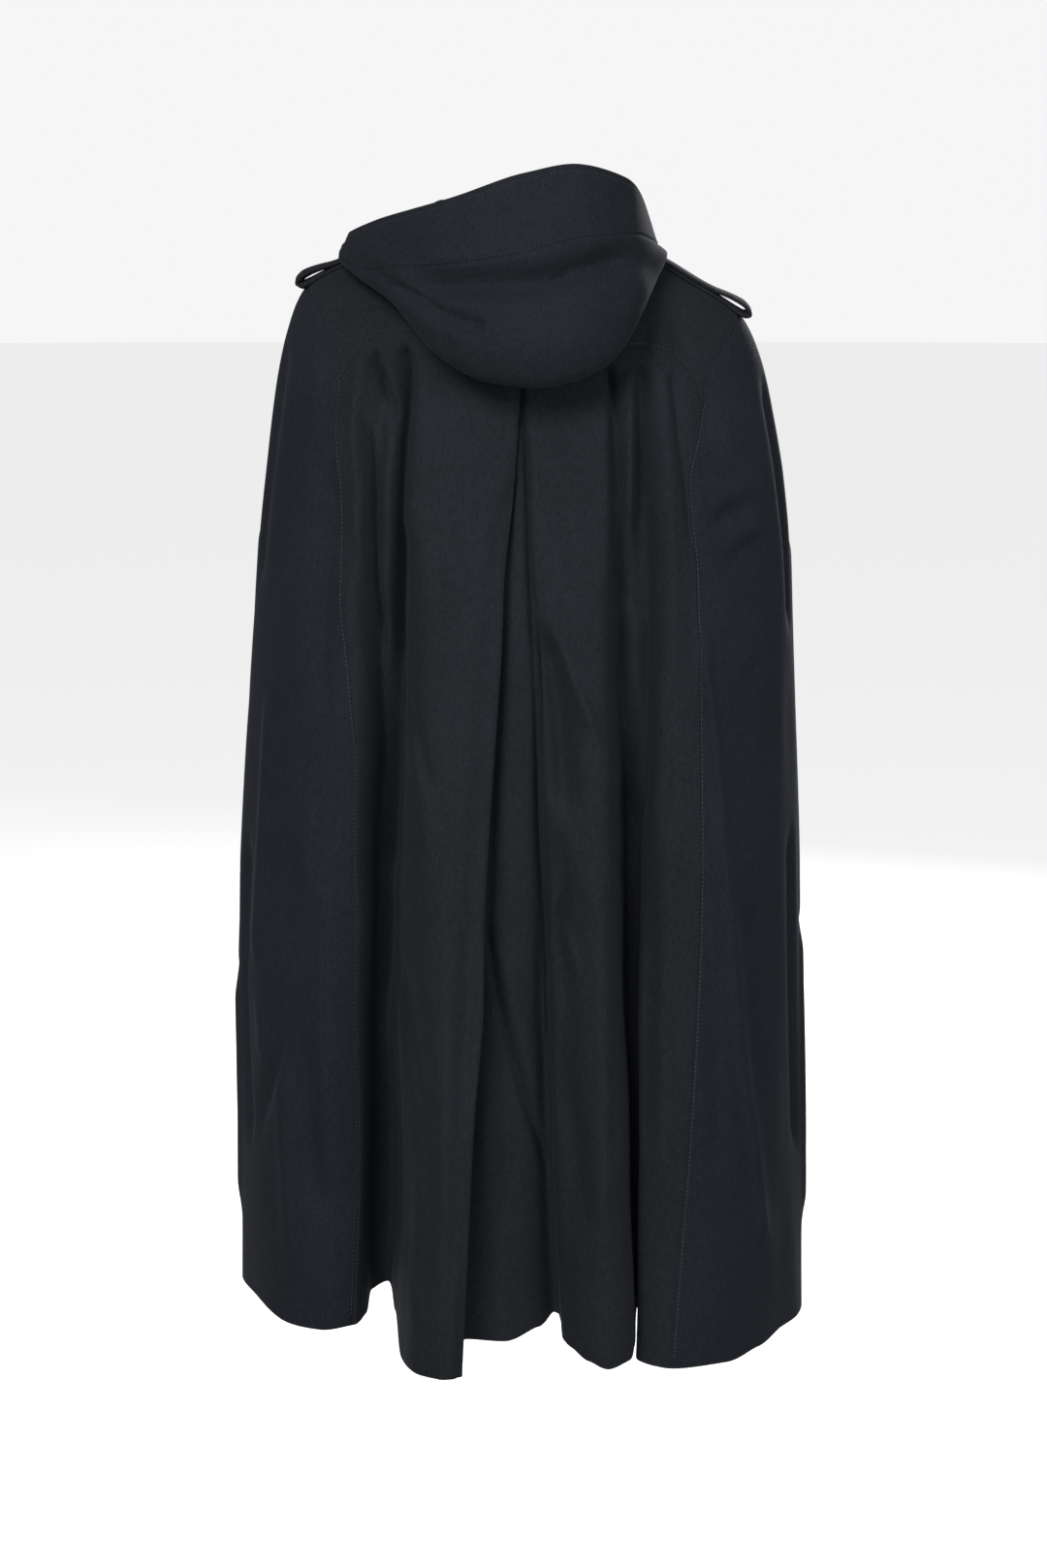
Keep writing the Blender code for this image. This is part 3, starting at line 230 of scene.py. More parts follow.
def formPoints(angle, height):
    halfWidth, backDepth, frontDepth = sectionAt(height)
    across, along = np.sin(np.radians(angle)), np.cos(np.radians(angle))
    depth = np.where(along > 0, backDepth, frontDepth)
    power = 2.0 / bodyForm["sectionPower"]
    return np.stack([
        halfWidth * np.copysign(np.abs(across) ** power, across),
        depth * np.copysign(np.abs(along) ** power, along),
    ], axis=-1)


# How far the hanging cloth is drawn in at each side, by height.
Draw = namedtuple("Draw", "height left right")
draws = [Draw(*row) for row in (
    (-1.15, 0, 0), (-0.85, 0, 0), (-0.71, -2.5, 0), (-0.6, 0, 0), (-0.545, 2, 0), (-0.45, 5.5, 0), (-0.32, 6, 0),
    (-0.25, 6, 0), (-0.2, 6, 1), (-0.15, 6, 3.5), (-0.1, 6.5, 5), (-0.05, 5, 6), (0, 0, 0),
)]


def drawnIn(points):
    # narrows the worn shape towards the measured outline
    heights = [row.height for row in draws]
    left = np.interp(points[..., 2], heights, [row.left for row in draws])
    right = np.interp(points[..., 2], heights, [row.right for row in draws])
    x = points[..., 0]
    moved = points.copy()
    moved[..., 0] -= left * mm * smoothStep(x / 0.22) - right * mm * smoothStep(-x / 0.22)
    return moved


def foldedPoints(angle, height, out):
    slope = bodyForm["slopeAngle"]
    run = formPoints(angle + slope, height) - formPoints(angle - slope, height)
    outward = np.stack([-run[..., 1], run[..., 0]], axis=-1)
    outward /= np.linalg.norm(outward, axis=-1, keepdims=True)
    return formPoints(angle, height) + outward * np.asarray(out)[..., None]


def angleOf(points):
    halfWidth, backDepth, frontDepth = sectionAt(points[..., 2])
    depth = np.where(points[..., 1] > 0, backDepth, frontDepth)
    power = bodyForm["sectionPower"] / 2.0
    across = np.copysign(np.abs(points[..., 0] / halfWidth) ** power, points[..., 0])
    along = np.copysign(np.abs(points[..., 1] / depth) ** power, points[..., 1])
    return np.degrees(np.arctan2(across, along))


def tilted(points):
    result = np.array(points, float)
    result[..., 2] += bodyForm["shoulderTilt"] * result[..., 0]
    return result


def seamHeight(angle, seam):
    return smoothValues(np.abs(angle), [row.angle for row in seam], [row.height for row in seam])


def armholeHeight(angle):
    size = np.abs(angle)
    span = (neckEdgeAngle - yokeCorner.angle) / (frontCornerAngle - neckEdgeAngle)
    size = np.where(size > neckEdgeAngle, neckEdgeAngle - (size - neckEdgeAngle) * span, size)
    return seamHeight(size, armholeSeam)


def yokeHeight(angle):
    return seamHeight(np.minimum(np.abs(angle), yokeCorner.angle), yokeSeam)


def armholeFrontAngle(height):
    angles = np.linspace(neckEdgeAngle, frontCornerAngle, 4001)
    return np.interp(height, armholeHeight(angles)[::-1], angles[::-1])


def foldTracks():
    # angle and distance out of every fold line at every ring
    angles, outs = [], []
    for fold in folds:
        heights = [levels["hem"], levels["knee"], levels["bust"], levels["yoke"]]
        if fold.name.endswith("Seam"):
            heights[-1] = yokeCorner.height
        angles.append(smoothValues(ringHeights, heights, [fold.hem, fold.knee, fold.bust, fold.yoke]))
        outs.append(smoothValues(ringHeights, heights, [fold.hemOut, fold.kneeOut, fold.bustOut, fold.yokeOut]))
    return np.array(angles), np.array(outs) * mm


def frontTracks(angles):
    # the fronts reach the neckline, so their fold lines fan in above the corner
    result = angles.copy()
    above = ringHeights > yokeCorner.height
    part = np.clip((ringHeights - yokeCorner.height) / (neckLevel - yokeCorner.height), 0.0, 1.0)
    for index, fold in enumerate(folds):
        corner = np.interp(yokeCorner.height, ringHeights, angles[index])
        fan = corner + (fold.neck - corner) * part
        if fold.name.endswith("FrontSeam"):
            inner = np.where(ringHeights < shoulderTip.height, armholeFrontAngle(ringHeights), neckEdgeAngle)
            fan = math.copysign(1.0, fold.yoke) * inner
        result[index] = np.where(above, fan, angles[index])
    return result


def foldKnots(angles, outs):
    knots = []
    for index, fold in enumerate(folds):
        shift = 0.0
        if fold.name.endswith(("FrontEdge", "FrontStand", "FrontMiddle")):
            shift = bodyForm["overlapStep"] * (1.0 if fold.name.startswith("right") else -1.0)
        knots.append(foldedPoints(angles[index], ringHeights, outs[index] + shift))
    return np.array(knots)


def ringCurve(place, knots, low, high):
    index = min(int(place), high - 1)
    near = [knots[min(max(number, low), high)] for number in range(index - 1, index + 3)]
    if index == low:
        near[0] = 2 * near[1] - near[2]
    if index + 1 == high:
        near[3] = 2 * near[2] - near[1]
    return curvePoints(*near, place - index)


def pointsAt(curve, heights):
    return np.stack([
        np.interp(heights, ringHeights, curve[:, 0]),
        np.interp(heights, ringHeights, curve[:, 1]),
        heights,
    ], axis=-1)


def columnPlaces(knots, first, last):
    # column places at an even pitch, with closer ones beside both edges
    low, high = sorted((foldIndex[first], foldIndex[last]))
    used = (ringHeights > -1.02) & (ringHeights < -0.14)
    places = []
    for index in range(low, high):
        length = np.linalg.norm(knots[index + 1] - knots[index], axis=-1)[used].max()
        onBack = foldIndex["leftSideBack"] <= index < foldIndex["rightSideBack"]
        steps = max(1, math.ceil(length / bodyForm["backPitch" if onBack else "columnPitch"]))
        places += [index + step / steps for step in range(steps)]
    places.append(float(high))
    for start, step in ((low, 1), (high, -1)):
        length = np.linalg.norm(knots[start + step] - knots[start], axis=-1)[used].mean()
        for near in closeRows:
            if near * mm < length * 0.6:
                places.append(start + step * near * mm / length)
    places = sorted(set(places))
    kept = [places[0]]
    for place in places[1:]:
        if place - kept[-1] > 0.012 or place == int(place):
            kept.append(place)
    return kept


def foldMix(place, name, smooth=False):
    index = min(int(place), len(folds) - 2)
    part = place - index
    if smooth:
        part = part * part * (3 - 2 * part)
    return getattr(folds[index], name) * (1 - part) + getattr(folds[index + 1], name) * part


def hemAt(place):
    return bodyForm["hemHeight"] + foldMix(place, "hemLift", smooth=True) * mm


def rowHeights(top, bottom):
    # the same number of rows for any length, closer at the seam and at the hem
    length = top - bottom
    near = (0.0,) + closeRows
    far = [40.0, 36.5, 35.2, 34.0, 32.8, 31.5, 26.0, 20.0, 14.0, 9.0, 5.0, 2.8, 1.6, 0.9, 0.4, 0.12, 0.0]
    count = round((0.90 - 0.046) / bodyForm["rowPitch"])
    middle = np.linspace(near[-1] * mm, length - far[0] * mm, count + 1)[1:-1]
    drops = np.concatenate([np.array(near) * mm, middle, length - np.array(far) * mm])
    return top - drops


def hangingPanel(knots, first, last, seamOf):
    columns = []
    for place in columnPlaces(knots, first, last):
        top = float(seamOf(foldMix(place, "yoke")))
        heights = rowHeights(top, hemAt(place))
        columns.append(pointsAt(ringCurve(place, knots, 0, len(folds) - 1), heights))
    return np.array(columns)


def frontPanel(knots, side, armholePoints):
    ends = sorted((foldIndex[side + "FrontSeam"], foldIndex[side + "FrontEdge"]))
    first, last = folds[ends[0]].name, folds[ends[1]].name
    seamPlace = float(foldIndex[side + "FrontSeam"])
    corner = yokeCorner.height
    neckSide = float(seamHeight(neckEdgeAngle, neckline))
    shoulderShare = (neckSide - shoulderTip.height) / (neckSide - corner)
    shares = (shoulderTip.height - armholePoints[:, 2]) / (shoulderTip.height - corner)
    rows = bodyForm["shoulderRows"]
    columns = []
    for place in columnPlaces(knots, first, last):
        top = float(seamHeight(foldMix(place, "neck"), neckline))
        middle = top + (corner - top) * shoulderShare
        heights = np.concatenate([
            top + (middle - top) * np.arange(rows) / rows,
            middle + (corner - middle) * shares,
            rowHeights(corner, hemAt(place))[1:],
        ])
        column = pointsAt(ringCurve(place, knots, *ends), heights)
        if place == seamPlace:
            column[rows:rows + len(armholePoints)] = armholePoints
        columns.append(column)
    return np.array(columns)


def yokePanel(lowerEdge):
    angle = angleOf(lowerEdge)
    top = seamHeight(angle, neckline)
    foot = formPoints(angle, lowerEdge[:, 2])
    columns = []
    for row in range(bodyForm["shoulderRows"] + 1):
        part = row / bodyForm["shoulderRows"]
        height = top + (lowerEdge[:, 2] - top) * part
        level = formPoints(angle, height) + (lowerEdge[:, :2] - foot) * part ** 2
        columns.append(np.concatenate([level, height[:, None]], axis=-1))
    return np.array(columns).transpose(1, 0, 2)


def bodyGrids():
    angles, outs = foldTracks()
    knots = foldKnots(angles, outs)
    frontKnots = foldKnots(frontTracks(angles), outs)
    join = ("pleatLeftJoin", "pleatRightJoin")
    grids = {
        "side_left": hangingPanel(knots, "leftFrontSeam", "leftBackSeam", armholeHeight),
        "back_left": hangingPanel(knots, "leftBackSeam", join[0], yokeHeight),
        "back_pleat_underlay": hangingPanel(knots, join[0], join[1], yokeHeight),
        "back_right": hangingPanel(knots, join[1], "rightBackSeam", yokeHeight),
        "side_right": hangingPanel(knots, "rightBackSeam", "rightFrontSeam", armholeHeight),
    }
    leftTop, rightTop = grids["side_left"][:, 0], grids["side_right"][:, 0]
    leftTip, rightTip = int(np.argmax(leftTop[:, 2])), int(np.argmax(rightTop[:, 2]))
    leftPlaces = columnPlaces(knots, "leftBackSeam", join[0])
    rightPlaces = columnPlaces(knots, join[1], "rightBackSeam")
    leftFace = leftPlaces.index(float(foldIndex["pleatLeftFace"])) + 1
    rightFace = rightPlaces.index(float(foldIndex["pleatRightFace"]))
    lowerEdge = np.concatenate([
        leftTop[leftTip:],
        grids["back_left"][1:leftFace, 0],
        grids["back_right"][rightFace:-1, 0],
        rightTop[:rightTip + 1],
    ])
    grids["yoke_back"] = yokePanel(lowerEdge)
    grids["front_left"] = frontPanel(frontKnots, "left", leftTop[:leftTip + 1][::-1])
    grids["front_right"] = frontPanel(frontKnots, "right", rightTop[rightTip:])
    return grids


# creases
# Soft troughs (negative) and ridges (positive) laid over the folds. Depth and width in mm.
# A path runs in level mm: (x, z) on the back and front, (y, z) on the two sides.
creaseForm = {
    "unevenness": 1.0 * mm,
    "endTaper": 42.0 * mm,
    "seamTaper": 9.0 * mm,
    "seamReach": 22.0 * mm,
    "facingStart": 0.02,
    "facingRun": 0.06,
    "seed": 11,
}
Crease = namedtuple("Crease", "side depth width skew path")


def creaseRows(side, rows):
    # a row holds depth, width and skew, then the path's points in mm
    return [Crease(side, *row[:3], [(x / 1000, z / 1000) for x, z in zip(row[3::2], row[4::2])]) for row in rows]


creases = []
# the gathers under the left end of the yoke
creases += creaseRows("back", [
    (6, 6, 0, 142, -112, 147, -137, 151, -168, 153, -208, 150, -248, 145, -284, 142, -319),
    (-12, 5, 0.2, 137, -110, 128, -132, 118, -160, 110, -188),
    (-10, 5, 0.1, 148, -156, 141, -182, 138, -207, 136, -238, 137, -272, 135, -310, 133, -348, 129, -389),
    (-7, 6.5, 0, 115, -352, 115, -400, 116, -460, 118, -530, 120, -610),
    (-6, 6.5, 0, 135, -310, 133, -370, 133, -430, 134, -490, 139, -530),
    (-13, 5.2, -0.1, 112, -104, 103, -119, 103, -149, 108, -183, 111, -214, 113, -258, 114, -308, 115, -352, 115,
        -400), (4, 8, 0, 130, -176, 125, -212, 122, -258, 123, -308, 123, -356),
    (4.5, 6, 0, 128, -110, 117, -131, 110, -156),
    (-4.5, 5, 0, 160, -136, 161, -169, 157, -208, 152, -242, 151, -276), (3, 9, 0, 91, -112, 88, -151, 90, -200),
])
# the side panel and the seam's own fold
creases += creaseRows("back", [
    (-5, 11, 0.1, 173, -201, 173, -250, 177, -294, 180, -341, 181, -388, 184, -445),
    (5.5, 12, 0, 152, -304, 154, -338, 151, -373, 146, -410, 146, -445, 153, -480),
    (3, 10, 0, 187, -117, 188, -172, 190, -228, 192, -277),
])
# the broad crest left of the pleat
creases += creaseRows("back", [
    (-5, 9, 0.1, 73, -121, 62, -142, 51, -164, 42, -190),
    (-6, 5.5, 0.3, 111, -403, 102, -427, 92, -452, 86, -478, 81, -508),
    (4, 6.5, 0, 112, -422, 106, -447, 98, -475, 93, -508), (-1.8, 5, 0, 69, -250, 59, -286, 47, -309, 28, -326),
    (1.8, 6, 0, 110, -277, 104, -254, 96, -232), (2, 9, 0, 57, -191, 51, -239, 52, -288),
    (-2.2, 10, 0, 81, -242, 76, -296, 75, -351),
    (-10, 10, -0.3, 112, -650, 106, -700, 101, -733, 93, -774, 83, -812),
    (-7, 10, 0, 92, -780, 86, -840, 86, -900, 92, -980),
    (4, 12, 0.1, 74, -560, 71, -648, 69, -745, 71, -826, 78, -909), (-3, 9, 0, 84, -812, 79, -860, 85, -910),
    (-2.5, 8, 0, 51, -614, 54, -687, 59, -768), (2.4, 7, 0, 91, -491, 86, -530, 79, -569),
    (-11, 14, 0, 110, -250, 112, -390, 113, -480, 112, -570, 107, -660, 102, -750, 102, -840, 107, -955),
    (-5, 9, 0, 17, -210, 27.6, -320, 36.7, -430, 42.4, -550, 46.3, -590, 49.8, -695, 59.2, -800, 64.8, -965),
])
# the floor of the deep left valley
creases += creaseRows("back", [
    (7, 8, 0, 125, -553, 129, -616, 132, -672, 128, -729, 126, -782), (-4, 7, 0, 113, -583, 117, -655, 112, -713),
])
# the left side, low
creases += creaseRows("back", [
    (-6, 6, 0.2, 216, -731, 228, -773, 241, -818, 252, -864), (4, 6, 0, 248, -707, 243, -747, 244, -790),
    (4, 7, 0, 221, -762, 223, -822, 219, -898, 219, -972),
    (-5.5, 10, 0, 199, -731, 200, -790, 196, -857, 190, -924),
    (5, 13, 0, 174, -576, 178, -652, 179, -744, 175, -820, 169, -897),
    (-3.5, 12, 0, 213, -546, 218, -610, 223, -678), (3, 11, 0, 195, -497, 197, -563, 196, -638),
])
# beside and under the pleat
creases += creaseRows("back", [
    (-3.5, 12, 0, -32, -155, -48, -188, -66, -220, -79, -247), (3.2, 10, 0, -11, -166, -26, -204, -48, -242),
    (-4.5, 3, 0, -1, -150, -3, -200, -6, -305, -11, -430, -15, -550, -19, -605, -25, -750),
    (-4, 5, 0, 9, -190, 15, -320, 23, -430, 29, -550, 34, -660),
    (-2.2, 6, 0, 12, -200, 21, -320, 30, -430, 36, -560),
    (-17, 12, -0.1, -17, -333, -24, -370, -30, -406, -34, -443, -37, -483, -39, -524),
    (6, 5.5, 0.2, -17, -327, -30, -354, -41, -380, -51, -404, -62, -428, -69, -456),
    (-8, 4.5, -0.3, 34, -610, 28, -663, 18, -713, 5, -763, -9, -810, -25, -863),
    (4, 8, 0, 15, -637, 7, -687, -6, -738, -18, -781), (3, 8, 0, 32, -730, 34, -798, 37, -866),
    (-4, 9, 0, 16, -805, 14, -864, 15, -924), (-6, 4.5, 0.3, -50, -561, -40, -585, -32, -614, -27, -642),
    (5, 5, 0, -35, -607, -43, -631, -47, -661), (5, 11, 0, -63, -544, -68, -625, -72, -715, -74, -806, -70, -890),
    (-5, 8, 0, -44, -746, -49, -798, -55, -851, -59, -905), (-4, 7, 0, -32, -695, -34, -754, -36, -812),
    (2.4, 9, 0, -37, -209, -46, -258, -52, -306), (-2.2, 9, 0, -22, -235, -30, -277, -37, -319),
    (-6, 9, 0, -33.5, -520, -37, -620, -42, -720, -45, -820, -47, -920),
    (-6, 8, 0, -78, -280, -82, -420, -85, -550, -85, -700, -83, -840),
])
# the right valley and the fold beyond it
creases += creaseRows("back", [
    (-11, 5, 0.1, -76, -107, -81, -149, -82, -198, -83, -244, -84, -293, -86, -337),
    (5, 6.5, 0, -92, -112, -93, -158, -93, -207, -91, -257, -90, -301),
    (-11, 8, 0, -108, -105, -107, -157, -106, -207, -104, -256, -102, -306, -103, -357),
    (-9, 10, 0, -89, -230, -89, -300, -90, -390, -93, -480, -95, -540),
    (5, 11, 0, -122, -111, -123, -162, -126, -217, -130, -272, -133, -328, -134, -390),
    (-6, 6, -0.1, -132, -112, -137, -140, -140, -171, -146, -207, -150, -244, -154, -281),
    (-9, 10, 0.2, -111, -488, -114, -573, -116, -665, -115, -748, -113, -833),
    (3.5, 10, 0, -132, -505, -130, -588, -128, -679, -126, -771, -123, -855),
    (-3.5, 5, 0, -130, -679, -135, -703, -138, -732),
])
# the ridge that runs down the right side
creases += creaseRows("back", [
    (6, 5.5, -0.2, -159, -327, -162, -368, -168, -414, -173, -455, -177, -490, -182, -528),
    (6, 6, -0.2, -174, -491, -181, -545, -189, -612, -195, -683, -202, -748, -212, -813, -218, -870, -224, -924),
    (-4, 12, 0, -203, -564, -212, -649, -217, -726, -225, -796),
    (-3.5, 10, 0, -172, -628, -176, -703, -178, -787, -177, -854), (2.6, 7, 0, -206, -858, -222, -897, -236, -943),
])
# drags across the right side
creases += creaseRows("back", [
    (-4.5, 11, 0.2, -162, -253, -188, -237, -215, -228), (3, 9, 0, -162, -228, -188, -216, -218, -210),
    (-3.5, 10, 0.2, -175, -290, -201, -268, -229, -254), (2.6, 10, 0, -175, -268, -198, -253, -226, -241),
    (-3, 9, 0, -192, -412, -209, -385, -222, -354), (3, 14, 0, -188, -132, -187, -172, -188, -203),
    (-3, 9, 0, -169, -115, -165, -148, -162, -179),
])
# the yoke on the shoulders
creases += creaseRows("back", [
    (-4, 7, 0, -109, -69, -110, -87, -109, -111), (3, 8, 0, -122, -68, -123, -86, -122, -111),
    (-2.6, 9, 0, -147, -73, -144, -91, -146, -113), (-3, 8, 0, 174, -72, 169, -87, 161, -105),
    (2.4, 8, 0, 158, -65, 152, -80, 142, -94), (-2.6, 8, 0, 130, -66, 126, -81, 124, -96),
])
# the fronts, from the shoulders and the buttons
creases += creaseRows("front", [
    (-7.1, 12.1, 0.2, 168, -90, 152, -170, 142, -280), (6.3, 12.1, -0.2, 188, -130, 178, -230, 172, -360),
    (-5.9, 9.9, 0.3, -160, -100, -150, -190, -142, -290), (7.1, 13.2, 0, -180, -150, -170, -280, -168, -430),
    (-8.8, 9.9, 0.3, 118, -460, 106, -600, 110, -720, 101, -860), (6.3, 13.2, 0, 73, -400, 80, -550, 71, -720),
    (-7.6, 11, -0.3, -121, -440, -112, -580, -119, -720), (7.6, 13.2, 0, -84, -580, -93, -750, -83, -920),
    (-6.3, 9.9, 0, -146, -640, -154, -760, -150, -900), (6.3, 9.9, 0, 150, -560, 158, -700, 150, -880),
    (-4.2, 7.7, 0.2, 34, -128, 60, -158, 88, -178), (-4, 7.7, 0.2, 30, -246, 56, -262, 86, -268),
    (-4.2, 8.8, -0.2, -34, -366, -62, -396, -94, -412), (-3.8, 8.8, -0.2, -30, -136, -58, -176, -82, -206),
    (5, 15.4, 0, 52, -780, 60, -880, 58, -980), (-5.5, 11, 0, -48, -620, -56, -740, -50, -880),
    (-9, 17, 0, 128, -300, 122, -480, 124, -680, 118, -960), (7, 20, 0, 82, -460, 88, -640, 84, -800, 92, -985),
    (-8, 16, 0, -128, -330, -124, -520, -130, -720, -126, -975),
    (7, 20, 0, -88, -420, -96, -600, -90, -780, -98, -985), (-6, 15, 0, 40, -560, 46, -720, 40, -860, 46, -985),
])
# the two sides
creases += creaseRows("left", [
    (-5.4, 13.2, 0.2, 30, -100, 36, -210, 30, -350), (6.8, 15.4, 0, -22, -260, -32, -500, -24, -740),
    (-7.1, 12.1, 0.3, -72, -400, -82, -600, -70, -820), (-5.8, 11, -0.2, 46, -560, 40, -700, 52, -880),
    (4.8, 9.9, 0, 74, -420, 78, -560, 70, -700), (-4.1, 8.8, 0, -46, -130, -60, -200, -66, -290),
    (5.1, 12.1, 0, 0, -700, 6, -830, 0, -960),
])
creases += creaseRows("right", [
    (-5.8, 13.2, 0.2, 24, -100, 30, -220, 22, -360), (6.5, 14.3, 0, -30, -240, -36, -460, -28, -660),
    (-6.8, 12.1, -0.3, -78, -380, -86, -580, -78, -800), (-5.8, 11, 0.2, 30, -520, 36, -680, 26, -860),
    (5.4, 9.9, 0, -10, -620, -4, -780, -12, -940), (-4.1, 8.8, 0, -44, -130, -56, -210, -60, -300),
])

# Places where a fold's edge wanders sideways: (x, z) there, the step along x, and the reach in x and z.
Wander = namedtuple("Wander", "x z step reachX reachZ")
wanders = [Wander(*row) for row in (
    (0.16, -0.18, 0.005, 0.02, 0.055), (0.146, -0.47, -0.003, 0.03, 0.05), (0.15, -0.33, 0.004, 0.028, 0.045),
    (0.155, -0.64, -0.005, 0.032, 0.09), (0.155, -0.84, -0.007, 0.032, 0.13), (-0.093, -0.4, 0.006, 0.02, 0.07),
    (-0.1, -0.54, 0.008, 0.02, 0.08), (-0.102, -0.68, 0.009, 0.022, 0.1), (-0.098, -0.86, 0.004, 0.024, 0.08),
    (0.02, -0.3, 0.003, 0.025, 0.05), (0.038, -0.7, -0.004, 0.028, 0.07), (0.139, -0.9, 0.009, 0.014, 0.17),
    (0.116, -0.9, -0.006, 0.014, 0.17), (-0.031, -0.5, 0.012, 0.022, 0.1), (-0.031, -0.68, 0.009, 0.022, 0.1),
    (-0.036, -0.85, 0.007, 0.022, 0.12),
)]


def pathPoints(path, step=0.012):
    # a smooth line through the path's points
    points = np.array(path, float)
    padded = np.vstack([2 * points[0] - points[1], points, 2 * points[-1] - points[-2]])
    result = []
    for index in range(len(points) - 1):
        count = max(2, int(np.linalg.norm(points[index + 1] - points[index]) / step))
        for number in range(count):
            result.append(curvePoints(*(padded[index + k][None] for k in range(4)), number / count)[0])
    result.append(points[-1])
    return np.array(result)


def creaseHeight(crease, places):
    # the height of one crease at places in its own plane
    line = pathPoints(crease.path)
    width = crease.width * mm
    result = np.zeros(len(places))
    reach = width * 3.2
    low, high = line.min(axis=0) - reach, line.max(axis=0) + reach
    near = np.all((places > low) & (places < high), axis=1)
    if not near.any():
        return result
    here = places[near]
    best = np.full(len(here), 1e9)
    signed = np.zeros(len(here))
    along = np.zeros(len(here))
    lengths = np.linalg.norm(np.diff(line, axis=0), axis=1)
    walked = np.concatenate([[0.0], np.cumsum(lengths)])
    for index in range(len(line) - 1):
        start, run = line[index], line[index + 1] - line[index]
        offset = here - start
        part = np.clip(offset @ run / max(run @ run, 1e-12), 0.0, 1.0)
        gap = offset - part[:, None] * run
        distance = np.linalg.norm(gap, axis=1)
        closer = distance < best
        best = np.where(closer, distance, best)
        side = np.sign(run[0] * offset[:, 1] - run[1] * offset[:, 0])
        signed = np.where(closer, side, signed)
        along = np.where(closer, walked[index] + part * lengths[index], along)
    runs = []
    for end in (crease.path[0], crease.path[-1]):
        atSeam = crease.side == "back" and abs(end[1] - levels["yoke"]) < creaseForm["seamReach"]
        runs.append(creaseForm["seamTaper"] if atSeam else min(creaseForm["endTaper"], 0.4 * walked[-1]))
    taper = smoothStep(along / runs[0]) * smoothStep((walked[-1] - along) / runs[1])
    spread = width * (1.0 + crease.skew * signed)
    result[near] = crease.depth * mm * np.exp(-(best / spread) ** 2) * taper
    return result


def outwardOf(points):
    # level direction away from the middle of the garment
    power = bodyForm["sectionPower"] - 1.0
    width, depth = 0.262, 0.160
    x, y = points[..., 0] / width, points[..., 1] / depth
    outward = np.stack([
        np.sign(x) * np.abs(x) ** power / width,
        np.sign(y) * np.abs(y) ** power / depth,
        np.zeros_like(x),
    ], axis=-1)
    return outward / np.maximum(np.linalg.norm(outward, axis=-1, keepdims=True), 1e-9)


def wandered(points):
    # the edges of the hanging folds, moved sideways
    moved = points.copy()
    back = smoothStep((points[..., 1] + creaseForm["facingStart"]) / creaseForm["facingRun"])
    for wander in wanders:
        reach = ((points[..., 0] - wander.x) / wander.reachX) ** 2
        reach = reach + ((points[..., 2] - wander.z) / wander.reachZ) ** 2
        moved[..., 0] += wander.step * np.exp(-reach) * back
    return moved


def creaseShift(points):
    # how far the cloth moves at each point: outwards from the middle of the garment
    flat = points.reshape(-1, 3)
    height = np.zeros(len(flat))
    start, run = creaseForm["facingStart"], creaseForm["facingRun"]
    sides = {
        "back": (0, smoothStep((flat[:, 1] + start) / run)),
        "front": (0, smoothStep((start - flat[:, 1]) / run)),
        "left": (1, smoothStep((flat[:, 0] - 0.10) / run)),
        "right": (1, smoothStep((-0.10 - flat[:, 0]) / run)),
    }
    for crease in creases:
        column, weight = sides[crease.side]
        height += creaseHeight(crease, flat[:, [column, 2]]) * weight
    return (outwardOf(flat) * height[:, None]).reshape(points.shape)


def unevenShift(points):
    # slow swells of the hanging cloth, fading out towards the shoulders
    rng = np.random.default_rng(creaseForm["seed"])
    radial = outwardOf(points)
    swell = np.zeros(points.shape[:-1])
    for number in range(14):
        length = 0.045 + 0.012 * number
        turn = rng.uniform(-0.9, 0.9)
        heading = np.array([math.cos(turn), math.cos(turn) * 0.8, math.sin(turn) * 0.35])
        phase = rng.uniform(0.0, 2.0 * math.pi)
        swell += np.sin(points @ heading * (2.0 * math.pi / length) + phase) * (length / 0.12)
    fade = 0.25 + 0.75 * smoothStep((-0.08 - points[..., 2]) / 0.25)
    return radial * (swell * fade * creaseForm["unevenness"] / 2.6)[..., None]


# cloth walls
def gridNormals(grids):
    # one outward direction for each point, shared by the panels that meet there
    flats = [grid.reshape(-1, 3) for grid in grids]
    keys = np.round(np.concatenate(flats) / (0.01 * mm)).astype(np.int64)
    _, inverse = np.unique(keys, axis=0, return_inverse=True)
    inverse = inverse.reshape(-1)
    count = inverse.max() + 1
    sums, facings, numbers = np.zeros((count, 3)), np.zeros(count), np.zeros(count)
    quads = []
    first = 0
    for grid in grids:
        columns, rows = grid.shape[:2]
        index = (first + np.arange(columns * rows)).reshape(columns, rows)
        first += columns * rows
        quads.append(gridQuads(index))
    quads = np.concatenate(quads)
    points = np.concatenate(flats)[quads]
    normal = np.cross(points[:, 2] - points[:, 0], points[:, 3] - points[:, 1])
    size = np.linalg.norm(normal, axis=1)
    good = size > 1e-13
    quads, normal, size = inverse[quads[good]], normal[good], size[good]
    unit = normal / size[:, None]
    for corner in range(4):
        np.add.at(sums, quads[:, corner], normal / np.sqrt(size)[:, None])
    sums /= np.maximum(np.linalg.norm(sums, axis=1, keepdims=True), 1e-12)
    for corner in range(4):
        facing = np.maximum(np.sum(sums[quads[:, corner]] * unit, axis=1), 0.0)
        np.add.at(facings, quads[:, corner], facing)
        np.add.at(numbers, quads[:, corner], 1.0)
    facings /= np.maximum(numbers, 1.0)
    field = sums / np.maximum(facings, bodyForm["leastFacing"])[:, None]
    field = field[inverse]
    result, first = [], 0
    for grid in grids:
        size = grid.shape[0] * grid.shape[1]
        result.append(field[first:first + size].reshape(grid.shape))
        first += size
    return result


